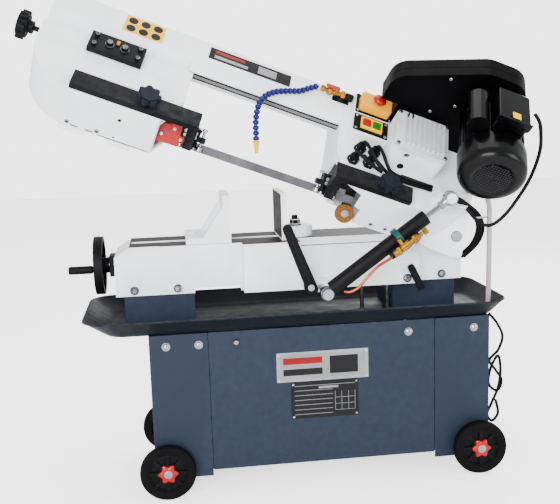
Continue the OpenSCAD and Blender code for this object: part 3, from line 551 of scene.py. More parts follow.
def spoke_axes(k, count):
    """Directions away from the middle and round it, for spoke k of count in the xz plane."""
    a = 2 * math.pi * k / count
    return Vector((math.cos(a), 0, math.sin(a))), Vector((-math.sin(a), 0, math.cos(a)))


def round_rect(x0, y0, x1, y1, r):
    """Outline of a rectangle with round corners."""
    steps = 6
    corners = (
        (x1 - r, y1 - r, 0), (x0 + r, y1 - r, 90), (x0 + r, y0 + r, 180), (x1 - r, y0 + r, 270),
    )
    out = []
    for cx, cy, start in corners:
        for i in range(steps + 1):
            a = math.radians(start + 90 * i / steps)
            out.append((cx + r * math.cos(a), cy + r * math.sin(a)))
    return out


def rect(x0, y0, x1, y1):
    """Outline of a rectangle with sharp corners."""
    return [(x0, y0), (x1, y0), (x1, y1), (x0, y1)]


def box_mm(node):
    """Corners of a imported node's box in millimetres."""
    lo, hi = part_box(node)
    return lo / MM, hi / MM


class Shape:
    """One piece while it's drawn, in millimetres, in one of the spaces."""

    def __init__(self):
        self.bm = bmesh.new()

    def loft(self, rings):
        """Closed skin over rings of points with the same count; a ring of one point is a tip."""
        made = [[self.bm.verts.new(p) for p in ring] for ring in rings]
        n = max(len(r) for r in made)
        for a, b in zip(made, made[1:]):
            for k in range(n):
                quad = [a[k % len(a)], a[(k + 1) % len(a)], b[(k + 1) % len(b)], b[k % len(b)]]
                self.bm.faces.new(list(dict.fromkeys(quad)))
        for ring in (made[0], made[-1]):
            if len(ring) > 2:
                self.bm.faces.new(ring)
        return self

    def box(self, lo, hi):
        """Block between two opposite corners."""
        size = [b - a for a, b in zip(lo, hi)]
        centre = [(a + b) / 2 for a, b in zip(lo, hi)]
        place = Matrix.Translation(centre) @ Matrix.Diagonal((*size, 1))
        bmesh.ops.create_cube(self.bm, size=1, matrix=place)
        return self

    def slab(self, outline, plane, lo, hi):
        """Outline in the plane xy or xz, thickened from lo to hi along the third axis."""
        place = {
            "xy": lambda p, t: (p[0], p[1], t),
            "xz": lambda p, t: (p[0], t, p[1]),
        }[plane]
        return self.loft([[place(p, t) for p in outline] for t in (lo, hi)])

    def lathe(self, at, axis, profile, segments=40):
        """Turned shape: profile holds (radius, height along the axis); a radius may be wavy."""
        turn = Vector(axis).to_track_quat("Z", "Y").to_matrix()
        at = Vector(at)
        rings = []
        for r, h in profile:
            if not callable(r) and r < 1e-6:
                rings.append([at + turn @ Vector((0, 0, h))])
            else:
                rings.append([at + turn @ Vector((x, y, h)) for x, y in ring_points(segments, r)])
        return self.loft(rings)

    def rod(self, a, b, r):
        """Round bar from a to b with chamfered ends."""
        a, b = Vector(a), Vector(b)
        length = (b - a).length
        e = min(0.8, r * 0.4, length * 0.4)
        return self.lathe(a, b - a, [(r - e, 0), (r, e), (r, length - e), (r - e, length)], 24)

    def nut(self, at, axis, across, height):
        """Hexagon, measured across its flats."""
        r = across / math.sqrt(3)
        return self.lathe(at, axis, [(r, 0), (r, height * 0.8), (r * 0.86, height)], 6)

    def screw(self, at, axis, r, h):
        """Socket or pan head with a recess in the middle."""
        profile = [(r, 0), (r, h * 0.75), (r * 0.85, h), (r * 0.45, h), (r * 0.4, h * 0.5), (0, h * 0.5)]
        return self.lathe(at, axis, profile, 20)

    def tube(self, points, r, segments=12, steps=6):
        """Round cable along a smooth path."""
        path = smooth_path(points, steps)
        rings = []
        side = None
        for i, p in enumerate(path):
            along = (path[min(i + 1, len(path) - 1)] - path[max(i - 1, 0)]).normalized()
            if side is None:
                side = along.orthogonal().normalized()
            side = (side - along * side.dot(along)).normalized()
            other = along.cross(side)
            rings.append([p + side * x + other * y for x, y in ring_points(segments, r)])
        return self.loft(rings)

    def piece(self, name, material, body="arm", space=WHEEL, bevel=0.0, replaces=None, sharp=35):
        """Ends the drawing: places the piece, gives it its material and, where body is a name, lets it ride
        on that body.

        A body of four values (two bodies, and the points where a bend would start and end) is not attached
        to any body: the piece stays fixed where it is drawn.
        """
        bm = self.bm
        bmesh.ops.recalc_face_normals(bm, faces=bm.faces)
        for face in bm.faces:
            face.smooth = True
        for edge in bm.edges:
            if len(edge.link_faces) == 2 and edge.calc_face_angle(0) > math.radians(sharp):
                edge.smooth = False
        bm.transform(space)
        mesh = bpy.data.meshes.new(name)
        bm.to_mesh(mesh)
        bm.free()
        obj = add_object(name, mesh)
        mesh.materials.append(material())
        if bevel:
            add_bevel(obj, bevel)
            obj.modifiers.new("normals", "WEIGHTED_NORMAL").keep_sharp = True
        if isinstance(body, str):
            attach(obj, body)
        else:
            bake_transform(obj)
        if replaces:
            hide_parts(replaces)
        return obj


def add_screws(name, material, axis, r, height, places, **riding):
    """One piece of equal screws; riding names another body or space, as in Shape.piece."""
    heads = Shape()
    for at in places:
        heads.screw(at, axis, r, height)
    heads.piece(name, material, **riding)


# ---- stand


def transport_wheel(node, body):
    """Rubber tyre on a spoked black hub with a red lobed cap on the outer side."""
    lo, hi = box_mm(node)
    front = lo.y < 0
    at = Vector(((lo.x + hi.x) / 2, lo.y + 3 if front else hi.y - 3, (lo.z + hi.z) / 2))
    out = Vector((0, -1 if front else 1, 0))
    r = (hi.x - lo.x) / 2
    tread = [(45, -27), (r - 7, -27), (r - 2, -25), (r, -20), (r, -8), (r - 2, -3), (r - 7, -0.5)]
    inner = [(50, -1.5), (46, -3), (45, -6), (45, -27)]
    tyre = Shape().lathe(at, out, tread + inner, 64)
    tyre.piece(f"{node}_tyre", rubber, body, STAND, replaces=node)
    dish = [(46.5, -24), (46.5, -5), (43, -4), (42, -9), (24, -9), (23, -3), (12, -3), (12, -24)]
    hub = Shape().lathe(at, out, dish, 48)
    for k in range(8):
        away, across = spoke_axes(k, 8)
        spoke = []
        for reach, half in ((22, 5), (44, 4)):
            p = at + away * reach
            spoke.append([p + across * s * half + out * t for s, t in rect(-1, -9, 1, -4)])
        hub.loft(spoke)
    hub.piece(f"{node}_hub", black_plastic, body, STAND, bevel=0.8)
    lobes = wavy(21, 3, 6)
    crown = [(lobes, -6), (lobes, -1), (wavy(18, 2.4, 6), 1.5), (9, 2.6), (0, 2.9)]
    Shape().lathe(at, out, crown, 72).piece(f"{node}_cap", red_plastic, body, STAND, sharp=50)


def tray():
    """Pressed tray: flat floor, flared sides with a rolled rim and round corners."""
    lo, hi = box_mm("chip_tray")
    z0, z1 = lo.z, hi.z
    wall = 3.5
    flare = 36
    left_flare = 60

    def ring(grow, z, corner):
        out = grow * flare
        outline = round_rect(
            lo.x + left_flare - grow * left_flare, lo.y + flare - out,
            hi.x - flare + out, hi.y - flare + out, corner,
        )
        return [(x, y, z) for x, y in outline]

    outside = [(-0.02, z0, 42), (0.06, z0 + 0.6, 44), (0.30, z0 + 10, 48), (0.86, z1 - 7, 58)]
    rim = [
        (0.98, z1 - 4, 61), (1.0, z1 - 2, 62), (0.99, z1 - 0.4, 62), (0.96, z1, 61),
        (0.92, z1 - 0.6, 60), (0.88, z1 - 3, 59),
    ]
    inside = [
        (0.80, z1 - 8, 56), (0.24, z0 + 11, 46), (0.02, z0 + wall + 0.6, 42), (-0.04, z0 + wall, 40),
    ]
    shell = Shape().loft([ring(*step) for step in outside + rim + inside])
    shell.piece("tray_shell", tray_paint, "stand", STAND, replaces="chip_tray", sharp=60)


def name_plate(y):
    """Plain name plate with a field and three bands, without any lettering; y is the panel's face."""
    plate = Shape().slab(round_rect(-116, 262, 110, 336, 2), "xz", y - 1.2, y)
    plate.piece("name_plate", steel, "stand", STAND, bevel=0.3)
    field = Shape().slab(round_rect(-108, 268, 102, 330, 2), "xz", y - 1.5, y - 1)
    field.piece("name_plate_field", plate_grey, "stand", STAND)
    upper = Shape().box((-100, y - 1.8, 306), (-4, y - 1, 322))
    upper.piece("name_plate_upper_band", plate_red, "stand", STAND)
    lower = Shape().box((-100, y - 1.8, 278), (-4, y - 1, 294)).box((14, y - 1.8, 278), (84, y - 1, 322))
    lower.piece("name_plate_lower_band", plate_dark, "stand", STAND)


def data_plate(y):
    """Dark data plate with plain rules, without any lettering; y is the panel's face."""
    plate = Shape().slab(round_rect(-82, 168, 84, 260, 2), "xz", y - 1.2, y)
    plate.piece("data_plate", plate_dark, "stand", STAND, bevel=0.3)
    lines = Shape()
    for z in range(250, 177, -12):
        lines.box((-74, y - 1.5, z), (20 if z < 240 else 76, y - 1, z + 1.0))
    for z in (216, 200, 184):
        lines.box((26, y - 1.5, z), (76, y - 1, z + 0.8))
    for x in (26, 42, 59, 75):
        lines.box((x, y - 1.5, 184), (x + 0.8, y - 1, 232))
    lines.box((-14, y - 1.6, 242), (34, y - 1, 247))
    lines.piece("data_plate_lines", plate_grey, "stand", STAND)


def plates():
    """Name plate and data plate on the cabinet's front, and their rivets."""
    y = box_mm("cabinet_panels")[0].y
    name_plate(y)
    data_plate(y)
    rivets = Shape()
    for left, right, upper, lower in ((-111, 105, 331, 267), (-77, 79, 255, 173)):
        for z in (upper, lower):
            for x in (left, right):
                rivets.lathe((x, y - 1, z), FRONT, [(3, 0), (2.6, 1.2), (0, 1.8)], 16)
    rivets.piece("plate_rivets", steel, "stand", STAND)


def cabinet_bolts():
    """Round-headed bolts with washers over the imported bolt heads."""
    y = box_mm("left_leg")[0].y
    height = 370
    head = [(10, 0), (10, 1.2), (8.5, 1.3), (8, 3.5), (5, 6), (2.4, 6.4), (2, 4.5), (0, 4.5)]
    bolts = Shape()
    for x in (-377, -300, 211, 377):
        bolts.lathe((x, y, height), FRONT, head, 28)
    bolts.piece("cabinet_bolt_heads", steel, "stand", STAND)


def tray_posts():
    """Two bright studs between the tray and the bed, and the drain strainer in the tray's floor."""
    floor_z = box_mm("bed_risers")[0].z
    top = box_mm("bed_casting")[0].z
    posts = Shape()
    for x in (122, 188):
        posts.rod((x, -20, floor_z), (x, -20, top + 6), 5)
        posts.nut((x, -20, floor_z), OUT, 15, 7)
        posts.nut((x, -20, top - 9), OUT, 15, 7)
    posts.piece("tray_posts", zinc, "stand", STAND, bevel=0.3)
    dish = [(24, 0), (24, 2), (21, 3), (4, 3), (3, 2), (0, 2)]
    strainer = Shape().lathe((120, -70, floor_z - 2), OUT, dish, 32)
    strainer.piece("tray_strainer", steel, "stand", STAND)


def power_cord():
    """Coiled supply cord that hangs beside the cabinet."""
    drop = [(432, -92, 392), (452, -96, 366), (466, -98, 332), (456, -96, 296), (434, -94, 270)]
    first_loop = [(450, -92, 244), (468, -90, 214), (458, -88, 186), (436, -86, 204), (442, -82, 244)]
    second_loop = [(462, -80, 276), (470, -78, 238), (464, -78, 190), (446, -80, 150), (434, -82, 122)]
    end = [(446, -84, 104), (462, -84, 124), (456, -82, 160)]
    cord = Shape().tube(drop + first_loop + second_loop + end, 3.6, 10, 8)
    cord.piece("power_cord", cable_black, "stand", STAND, sharp=80)


def supply_hose():
    """Coolant supply hose from the tray's end up to the arm."""
    points = [
        (440, -65, 403), (441, -65, 470), (442, -64, 560), (442, -64, 620),
        (440, -66, 662), (428, -70, 694), (404, -76, 706), (376, -80, 700),
    ]
    flex = ("stand", "arm", (442, -65, 480), (430, -70, 680))
    Shape().tube(points, 6.5, 14, 8).piece("supply_hose", hose_grey, flex, STAND, sharp=80)


def vise_details():
    """Hub cap of the handwheel, and the fixed jaw's plate and swivel bolt."""
    lo, hi = box_mm("vise_handwheel")
    mid = (lo + hi) / 2
    hub = Shape().lathe((lo.x - 1, mid.y, mid.z), LEFT, [(19, 0), (18, 3), (11, 4.5), (0, 4.5)], 36)
    hub.piece("handwheel_hub_cap", black_plastic, "vise_screw", STAND)
    lo, hi = box_mm("fixed_jaw")
    plate = Shape().box((lo.x - 0.9, lo.y + 3, lo.z + 4), (lo.x + 0.4, lo.y + 160, hi.z - 3))
    plate.piece("fixed_jaw_plate", jaw_brown, "turning_jaw", STAND, bevel=0.3)
    x = lo.x + 45
    y = lo.y + 83
    stud = Shape()
    stud.lathe((x, y, lo.z + 26), OUT, [(17, 0), (17, 3), (15, 4), (9, 4)], 32)
    stud.nut((x, y, lo.z + 30), OUT, 24, 13)
    stud.rod((x, y, lo.z + 40), (x, y, lo.z + 52), 8)
    stud.piece("swivel_bolt", black_steel, "turning_jaw", STAND, bevel=0.4)


def bed_bolts():
    """Bolt heads along the foot of the bed."""
    z = 488
    bolts = Shape()
    for x, y in ((-447, -30), (-341, -30), (230, -63), (329, -30)):
        bolts.lathe((x, y, z), FRONT, [(11, 0), (11, 1.2), (8.5, 1.5)], 24)
        bolts.nut((x, y - 1, z), FRONT, 14, 7)
    bolts.piece("bed_bolt_heads", zinc, "stand", STAND, bevel=0.3)


def stop_arm_nut():
    """Lock washer and nut at the foot of the work-stop arm."""
    x, z = -26, 492
    parts = Shape().lathe((x, -121, z), FRONT, [(14, 0), (14, 1.6), (9, 1.8)], 28)
    parts.nut((x, -122.5, z), FRONT, 16, 8)
    parts.piece("stop_arm_nut", black_steel, "stop_finger", STAND, bevel=0.4)


def stop_arm_rib():
    """Cast swing arm of the work stop: a wide body and a narrow rib, with the larger end clamped."""
    low, high = Vector((-22, 0, 486)), Vector((-78, 0, 634))
    along = (high - low).normalized()
    side = Vector((-along.z, 0, along.x))
    steps = 12
    rib = Shape()
    for half, front, back in ((11.5, -126, -116), (5, -130, -125)):
        outline = []
        for end, sign, r in ((high, 1, half), (low, -1, half * 1.25)):
            for k in range(steps + 1):
                a = math.pi * k / steps
                p = end + side * (sign * r) * math.cos(a) + along * (sign * r) * math.sin(a)
                outline.append((p.x, p.z))
        rib.slab(outline, "xz", front, back)
    rib.piece("stop_arm_rib", black_steel, "stop_finger", STAND, bevel=1.2)


def seam_painted_shade():
    """Dark sheets in the cabinet's paint behind its two seams, as painted shade standing for the shadow seen
    through the gaps.
    """
    front = box_mm("cabinet_panels")[0].y
    painted_shade = Shape()
    # painted shade: a dark sheet behind each seam stands for the shadow in the gap
    for x in (-277, 277):
        painted_shade.box((x - 16, front + 4, 56), (x + 16, front + 6, 380))
    painted_shade.piece("cabinet_seam_painted_shade", stand_paint, "stand", STAND)


# ---- feed cylinder


VALVE_Y = -31
VALVE_Z = -17


def clamp_band():
    """Painted band round the barrel, with the lug that holds the valve."""
    ring = [(24.4, 0), (25, 1), (25, 13), (24.4, 14), (21.2, 14), (21.2, 0), (24.4, 0)]
    band = Shape().lathe((205, 0, 0), ALONG, ring, 48)
    band.box((203, -31, -26), (221, -20, -14))
    band.piece("clamp_band", teal_paint, "barrel", FEED, bevel=0.4)


def needle_valve():
    """Brass valve beside the barrel, its fluted knob and the copper pipe to it."""
    at = (176, VALVE_Y, VALVE_Z)
    body = [(6, 0), (9, 1), (9, 12), (6.5, 13), (6.5, 22), (10, 23), (10, 46), (7, 47), (7, 58)]
    tail = [(9.5, 59), (9.5, 70), (6, 72), (5, 84)]
    valve = Shape().lathe(at, ALONG, body + tail, 24)
    valve.nut((188, VALVE_Y, VALVE_Z), ALONG, 20, 9)
    valve.nut((232, VALVE_Y, VALVE_Z), ALONG, 21, 10)
    valve.rod((206, VALVE_Y, VALVE_Z), (206, VALVE_Y, 6), 5.5)
    valve.piece("needle_valve", brass, "barrel", FEED, bevel=0.3)
    grip = wavy(8, 0.4, 24)
    knob = Shape().lathe((262, VALVE_Y, VALVE_Z), ALONG, [(5, 0), (grip, 1), (grip, 11), (5, 12)], 96)
    knob.piece("needle_valve_knob", brass, "flow_knob", FEED, replaces="flow_valve_knob", sharp=60)
    bends = [(160, -33, -18), (130, -34, -15), (96, -34, -20), (66, -33, -27), (44, -30, -24)]
    pipe = Shape().tube([at, *bends, (34, -24, -17)], 3.4, 12, 6)
    pipe.piece("copper_pipe", copper, "barrel", FEED, sharp=80)


def feed_ends():
    """Nut on the foot pin, and the rod eye with its pin at the other end."""
    foot_nut = Shape().lathe((0, -12, 0), FRONT, [(16, 0), (16, 2.5), (13, 3.5)], 32)
    foot_nut.nut((0, -14, 0), FRONT, 20, 9)
    foot_nut.piece("foot_pin_nut", zinc, "barrel", FEED, bevel=0.4)
    ring = [(10.5, 0), (17, 1), (18, 4), (18, 15), (17, 18), (10.5, 19)]
    collar = [(8, 0), (9.4, 1), (9.8, 5), (11, 9), (12, 12)]
    end = Shape().lathe((FEED_LEN, 10, 0), FRONT, ring, 40)
    end.lathe((FEED_LEN - 24, 0, 0), ALONG, collar, 28)
    end.nut((FEED_LEN - 31, 0, 0), ALONG, 18, 7.5)
    end.piece("rod_eye", steel, "rod", FEED, bevel=0.3)
    head = [(8, 0), (8, 3), (6.5, 4), (3.5, 4), (3.2, 1), (0, 1)]
    pin = Shape().lathe((FEED_LEN, -10, 0), FRONT, head, 24)
    pin.piece("rod_eye_pin", zinc, "arm", FEED)


# ---- saw arm


HOUSING_TOP = 77
HOUSING_FRONT = -31


def yellow_label():
    """Plain yellow label with dark dots, without lettering or symbols."""
    top = HOUSING_TOP
    label = Shape().slab(rect(-944, 213, -846, 271), "xy", top, top + 0.7)
    label.piece("yellow_label", label_yellow)
    dots = Shape()
    for u in (-926, -895, -864):
        for v in (228, 256):
            dots.lathe((u, v, top + 0.5), OUT, [(11.5, 0), (11.5, 0.5)], 28)
    dots.piece("yellow_label_dots", plate_dark)


def beam_plate():
    """Plain dark plate with three bands on the beam, without any lettering."""
    top = HOUSING_TOP
    lo, hi = top + 0.6, top + 1.2
    plate = Shape().slab(rect(-730, 224, -518, 265), "xy", top, top + 0.8)
    plate.piece("beam_plate", plate_dark, bevel=0.2)
    Shape().box((-716, 248, lo), (-640, 258, hi)).piece("beam_plate_red_band", plate_red)
    bands = Shape().box((-716, 231, lo), (-630, 241, hi)).box((-604, 232, lo), (-556, 257, hi))
    bands.piece("beam_plate_light_band", plate_grey)


def tension_block():
    """Corner screws, two hexagon bolts and a brass pad on the tension block."""
    u, v, top = IDLE_U - 42, 126, 97.2
    heads = Shape()
    for du in (13, 116):
        for dv in (-16, 16):
            heads.screw((u + du, v + dv, top + 4.5), OUT, 5.5, 3)
    for du in (46, 82):
        heads.lathe((u + du, v, top), OUT, [(11, 0), (11, 1.6), (8.6, 1.8)], 28)
        heads.nut((u + du, v, top + 8), OUT, 13, 2)
    heads.piece("tension_block_bolts", zinc, "tension_block", bevel=0.3)
    pad = Shape().box((u + 60, v + 4, top), (u + 68, v + 18, top + 4))
    pad.piece("tension_block_pad", brass, "tension_block", bevel=0.5)


def left_housing_details():
    """Black patches painted as the shade inside slots and a small hole, a small plug and two cover screws on
    the left housing's front.
    """
    v = HOUSING_FRONT
    dark = Shape()
    # painted shade: flat black patches stand for the shaded insides of the slots and the hole
    for u0, u1 in ((-984, -966), (-948, -930)):
        dark.box((u0, v - 0.4, -34), (u1, v + 0.6, -31.5))
    dark.box((-918, v - 0.4, -37), (-800, v + 0.6, -35.4))
    dark.lathe((-878, v, 33), FRONT, [(4.2, -0.4), (4.2, 0.5)], 20)
    dark.lathe((-882, v, -27), FRONT, [(2.5, 0), (2.5, 0.8), (1.5, 1.2)], 12)
    dark.piece("left_housing_slot_shade_and_plug", black_steel)
    places = [(u, v, -25) for u in (-992, -922)]
    add_screws("left_housing_screws", zinc, FRONT, 5.5, 2, places)


def right_housing_screws():
    """Two screws on the right housing's front."""
    places = [(u, -31.2, -23) for u in (-234, -196)]
    add_screws("right_housing_screws", zinc, FRONT, 4.6, 2.6, places)


def guide_details(u, guide, mirror):
    """Clamp screws, roller bolts and eccentric nuts of one blade guide, which is also its body's name."""
    end = u + mirror * 30
    bolts = Shape()
    for du in (-16, 16):
        for y in (-6, 6):
            bolts.rod((u + du, y, 10), (u + du, y, 46), 3.2)
            bolts.nut((u + du, y, 37), OUT, 9, 6)
        bolts.lathe((u + du, -6, -10), OUT, [(3, 0), (6.2, 1), (6.2, 7), (3, 8)], 24)
    for z in (20, 30):
        for du in (-12, 12):
            bolts.nut((u + du, -15, z), FRONT, 9, 5)
    bolts.rod((end, -10, 4), (end, -10, 44), 3.5)
    bolts.nut((end, -10, 40), OUT, 11, 7)
    bolts.lathe((end, -10, -8), OUT, [(5, 0), (8.5, 1), (8.5, 10), (5, 11)], 28)
    bolts.piece(f"{guide}_bolts", steel, guide, ARM, bevel=0.3)
    blocks = Shape()
    blocks.box((u + mirror * 16, -18, 12), (u + mirror * 38, 6, 26))
    blocks.box((u - 10, -20, -6), (u + 10, -14, 16))
    blocks.box((u - 24, -16, 34), (u + 24, 16, 42))
    blocks.piece(f"{guide}_blocks", black_steel, guide, ARM, bevel=1.2)


def guard_details():
    """Flange, rib and screws of the red blade guard; u is the guard's left end."""
    u = -794
    red = Shape()
    red.box((u + 4, -12, 2), (u + 78, -8.2, 32))
    red.box((u + 30, -14, 14), (u + 50, -8, 44))
    flange = [(u + 2, -16), (u + 66, -12), (u + 80, 0), (u + 80, 12), (u + 2, 12)]
    red.slab(flange, "xz", -10.5, -8.2)
    red.piece("guard_flange", red_paint, "left_guide", ARM, bevel=1.2)
    places = [(u + du, -13, z) for du, z in ((40, 24), (14, 4), (60, 4))]
    add_screws("guard_screws", steel, FRONT, 4, 3, places, body="left_guide", space=ARM)


def brush_nut():
    """Hub and nut of the chip brush."""
    u, z = -304, -35
    hub = Shape().lathe((u, -8.5, z), FRONT, [(9, -1), (9, 1.5), (7, 2)], 28)
    hub.nut((u, -10, z), FRONT, 11, 5)
    hub.piece("brush_nut", steel, "brush", ARM, bevel=0.3)


def beam_groove():
    """Black lines on the lip under the beam, painted as the shade in the gaps above and below the returning
    blade, and a bright grey strip for the blade where it runs in its channel.
    """
    # painted shade: black strips stand for the shadowed gaps beside the returning blade
    dark = Shape().box((-764, 167.6, 60), (-366, 170, 64)).box((-764, 167.6, 47), (-366, 170, 51))
    dark.piece("beam_gap_painted_shade", cable_black)
    Shape().box((-764, 167.9, 51), (-366, 170, 60)).piece("beam_strip", plate_grey)


def cover_knobs(side, body, centre, back, spots):
    """Round fluted knobs that hold one wheel cover at the back."""
    grip = [(wavy(13, 1.2, 8), 8), (wavy(14, 1.2, 8), 10), (wavy(14, 1.2, 8), 18), (wavy(12, 1.2, 8), 21)]
    profile = [(7, 0), (7, 6), *grip, (8, 22), (0, 22)]
    knobs = Shape()
    for du, v in spots:
        knobs.lathe((centre + du, v, back), (0, 0, -1), profile, 64)
    knobs.piece(f"{side}_cover_knobs", black_plastic, body, sharp=50)


def pivot_details():
    """End disc of the pivot shaft, and the bolt on the pivot plate."""
    p = joint_pos("arm_pivot") / MM
    disc = Shape().lathe((p.x, -83, p.z), FRONT, [(14, 0), (14, 2), (12.5, 3.2), (0, 3.4)], 40)
    disc.piece("pivot_disc", pivot_grey, "stand", STAND, bevel=0.2)
    bolt = Shape().nut((-66, -8, 35), FRONT, 12, 7)
    bolt.lathe((-66, -8, 35), FRONT, [(8.5, 0), (8.5, 1.4), (6, 1.6)], 24)
    bolt.piece("pivot_plate_bolt", zinc, "arm", ARM, bevel=0.3)


# ---- controls and cables


PANEL_TOP = 103.0
KEY_FOOT = PANEL_TOP + 6.2


def switch_plates():
    """Two black switch plates."""
    plate = Shape()
    for v0, v1 in ((194, 260), (131, 189)):
        plate.slab(round_rect(-350, v0, -259, v1, 3), "xy", PANEL_TOP, PANEL_TOP + 1.5)
    plate.piece("switch_plates", black_plastic, bevel=0.4)


def switch_keys():
    """Yellow frame round the red stop key and the green start key, and the plates' screws."""
    frame_bars = Shape()
    for u0, v0, u1, v1 in (
        (-332, 142, -276, 150.2), (-332, 172.8, -276, 180), (-332, 150, -327.8, 173),
        (-306.2, 150, -301.8, 173), (-280.2, 150, -276, 173),
    ):
        frame_bars.box((u0, v0, PANEL_TOP + 1.2), (u1, v1, PANEL_TOP + 6.4))
    frame_bars.piece("switch_frame", label_yellow, bevel=0.5)
    stop = Shape().slab(round_rect(-327, 151, -307, 172, 2), "xy", KEY_FOOT, PANEL_TOP + 9.4)
    stop.piece("stop_key", red_plastic, "stop", bevel=0.8, replaces="stop_button")
    start = Shape().slab(round_rect(-301, 151, -281, 172, 2), "xy", KEY_FOOT, PANEL_TOP + 9)
    start.piece("start_key", green_plastic, "start", bevel=0.8, replaces="start_button")
    corners = ((-343, 201), (-343, 182), (-343, 138), (-266, 182), (-266, 138))
    places = [(u, v, PANEL_TOP + 1.4) for u, v in corners]
    add_screws("switch_plate_screws", steel, OUT, 3.6, 2, places)


def stop_mushroom():
    """Red mushroom with a rounded crown."""
    profile = [(7, 0), (7, 14), (15, 15), (16.5, 17), (16.5, 21), (14, 25), (8, 27), (0, 27.6)]
    button = Shape().lathe((-298, 228, 115), OUT, profile, 40)
    button.piece("stop_mushroom", red_plastic, "estop", replaces="estop_button", sharp=50)


def cable_glands():
    """Four fluted cable glands and a plug under the switch plates."""
    grip = [(12, 0), (wavy(11.4, 0.5, 12), 3), (wavy(10.2, 0.5, 12), 12), (9.6, 14), (5, 15)]
    caps = Shape()
    for u, v in ((-318, 96), (-281, 98), (-332, 54), (-292, 58)):
        caps.nut((u, v, HOUSING_TOP), OUT, 28, 10.6)
        caps.lathe((u, v, 85), OUT, grip, 48)
    caps.lathe((-303, 76, HOUSING_TOP), OUT, [(7, 0), (7, 5), (4, 7)], 20)
    caps.piece("cable_glands", black_plastic, bevel=0.4)


def control_cables():
    """Four cables that leave the glands, and the rail two of them run along."""
    routes = (
        [(-318, 96, 98), (-317, 93, 110), (-304, 74, 114), (-282, 48, 106), (-262, 32, 100)],
        [
            (-281, 98, 98), (-280, 94, 110), (-268, 76, 110), (-252, 52, 102),
            (-236, 40, 96), (-190, 44, 86), (-120, 50, 84), (-70, 52, 82),
        ],
        [(-332, 54, 98), (-330, 52, 108), (-310, 40, 108), (-280, 30, 102), (-262, 26, 99)],
        [
            (-292, 58, 98), (-288, 54, 107), (-270, 42, 104), (-240, 34, 92),
            (-190, 36, 84), (-120, 42, 82), (-60, 44, 81),
        ],
    )
    cables = Shape()
    for route in routes:
        cables.tube(route, 4.4)
    cables.piece("control_cables", cable_black, sharp=80)
    rail = Shape().box((-206, 40, 77), (-95, 62, 80))
    rail.piece("cable_rail", black_steel, bevel=0.6)
    edge = Shape().box((-206, 38, 77), (-95, 40.5, 81.5))
    edge.piece("cable_rail_edge", steel, bevel=0.4)


def motor_lead():
    """Cable from the junction box round the motor's side and under it, and its gland."""
    points = [
        (478, -242, 886), (490, -240, 868), (496, -235, 845), (504, -215, 803), (503, -180, 750),
        (490, -150, 701), (458, -130, 647), (425, -120, 620), (398, -110, 627), (366, -105, 663),
    ]
    Shape().tube(points, 4.4, 12, 8).piece("motor_lead", cable_black, "arm", STAND, sharp=60)
    gland = Shape().lathe((-14, 84, 318), ALONG, [(9, 0), (9, 6), (7, 7), (6.5, 10), (4.5, 12)], 24)
    gland.piece("motor_lead_gland", black_plastic)


def cable_bundle():
    """Three cables from the rail past the pivot to the back of the bed, and their tie."""
    flex = ("stand", "arm", (392, -20, 540), (392, -90, 650))
    for k, s in enumerate((0, 8, 15)):
        points = [
            (297 + s, -112 + k, 699), (330 + s, -108, 688), (358 + s, -100, 670),
            (388 + s, -88, 646), (404 + s, -80 + k, 620), (410 + s, -62, 594),
            (405 + s, -42, 564), (392 + s, -20, 540), (388 + s, 10, 522),
        ]
        bundle = Shape().tube(points, 4.3, 12, 6)
        bundle.piece(f"cable_bundle_{k + 1}", cable_black, flex, STAND, sharp=80)
    tie = Shape().box((396, -92, 634), (426, -78, 638))
    tie.piece("cable_tie", steel, "arm", STAND, bevel=0.4)


# ---- drive


def gearbox_details():
    """Corner screws and two plugs of the gearbox."""
    top = 150.0
    inset = 4
    places = [(u, v, top) for u in (-252 + inset, -122 - inset) for v in (82 + inset, 199 - inset)]
    add_screws("gearbox_screws", zinc, OUT, 5.5, 4, places)
    plugs = Shape()
    plugs.lathe((-221, 192, top - 2), OUT, [(8, 0), (8, 6), (6.5, 8), (0, 8.4)], 28)
    plugs.lathe((-214, 78.2, 89), FRONT, [(8.5, 0), (8.5, 2), (6, 3), (0, 3)], 24)
    plugs.piece("gearbox_plugs", black_plastic, bevel=0.4)


MOTOR_U = -50
MOTOR_W = 235


def fan_cover():
    """Domed fan cover with the dark holes of its grille."""
    face = [(0, 2), (44, 2), (46, 0.6), (58, 0.8), (68, 3.5), (74.5, 9), (78, 17), (79, 27)]
    skirt = [(79, 72), (78, 77), (75, 78), (72.6, 78)]
    dome = Shape().lathe((MOTOR_U, -20, MOTOR_W), (0, 1, 0), face + skirt, 72)
    dome.piece("fan_dome", gloss_black, replaces="fan_cover", sharp=60)
    cells = Shape()
    step = 6.4
    for i in range(-7, 8):
        for k in range(-7, 8):
            x, z = i * step, k * step
            u, w = MOTOR_U + x, MOTOR_W + z
            if 9 < math.hypot(x, z) < 44:
                cells.box((u - 2, -19.2, w - 2), (u + 2, -17.9, w + 2))
    cells.piece("fan_grille_holes", grille_grey)


def motor_ribs():
    """Cooling ribs round the motor, and the dark base of its label."""
    middle = Vector((MOTOR_U, 0, MOTOR_W))
    section = ((71, -1.4), (75, -1), (75, 1), (71, 1.4))
    ribs = Shape()
    for k in range(24):
        away, side = spoke_axes(k, 24)
        ends = []
        for v in (62, 196):
            ends.append([middle + away * r + side * s + Vector((0, v, 0)) for r, s in section])
        ribs.loft(ends)
    ribs.piece("motor_ribs", gloss_black, bevel=0.3)
    Shape().box((-92, 8, 296.5), (-62, 40, 297.5)).piece("motor_label_base", plate_dark)


def belt_box_screws():
    """Three screws on the belt box."""
    places = [(u, 205, w) for u, w in ((-183, 285), (-136, 216), (-182, 175))]
    add_screws("belt_box_screws", steel, FRONT, 4, 2.4, places)


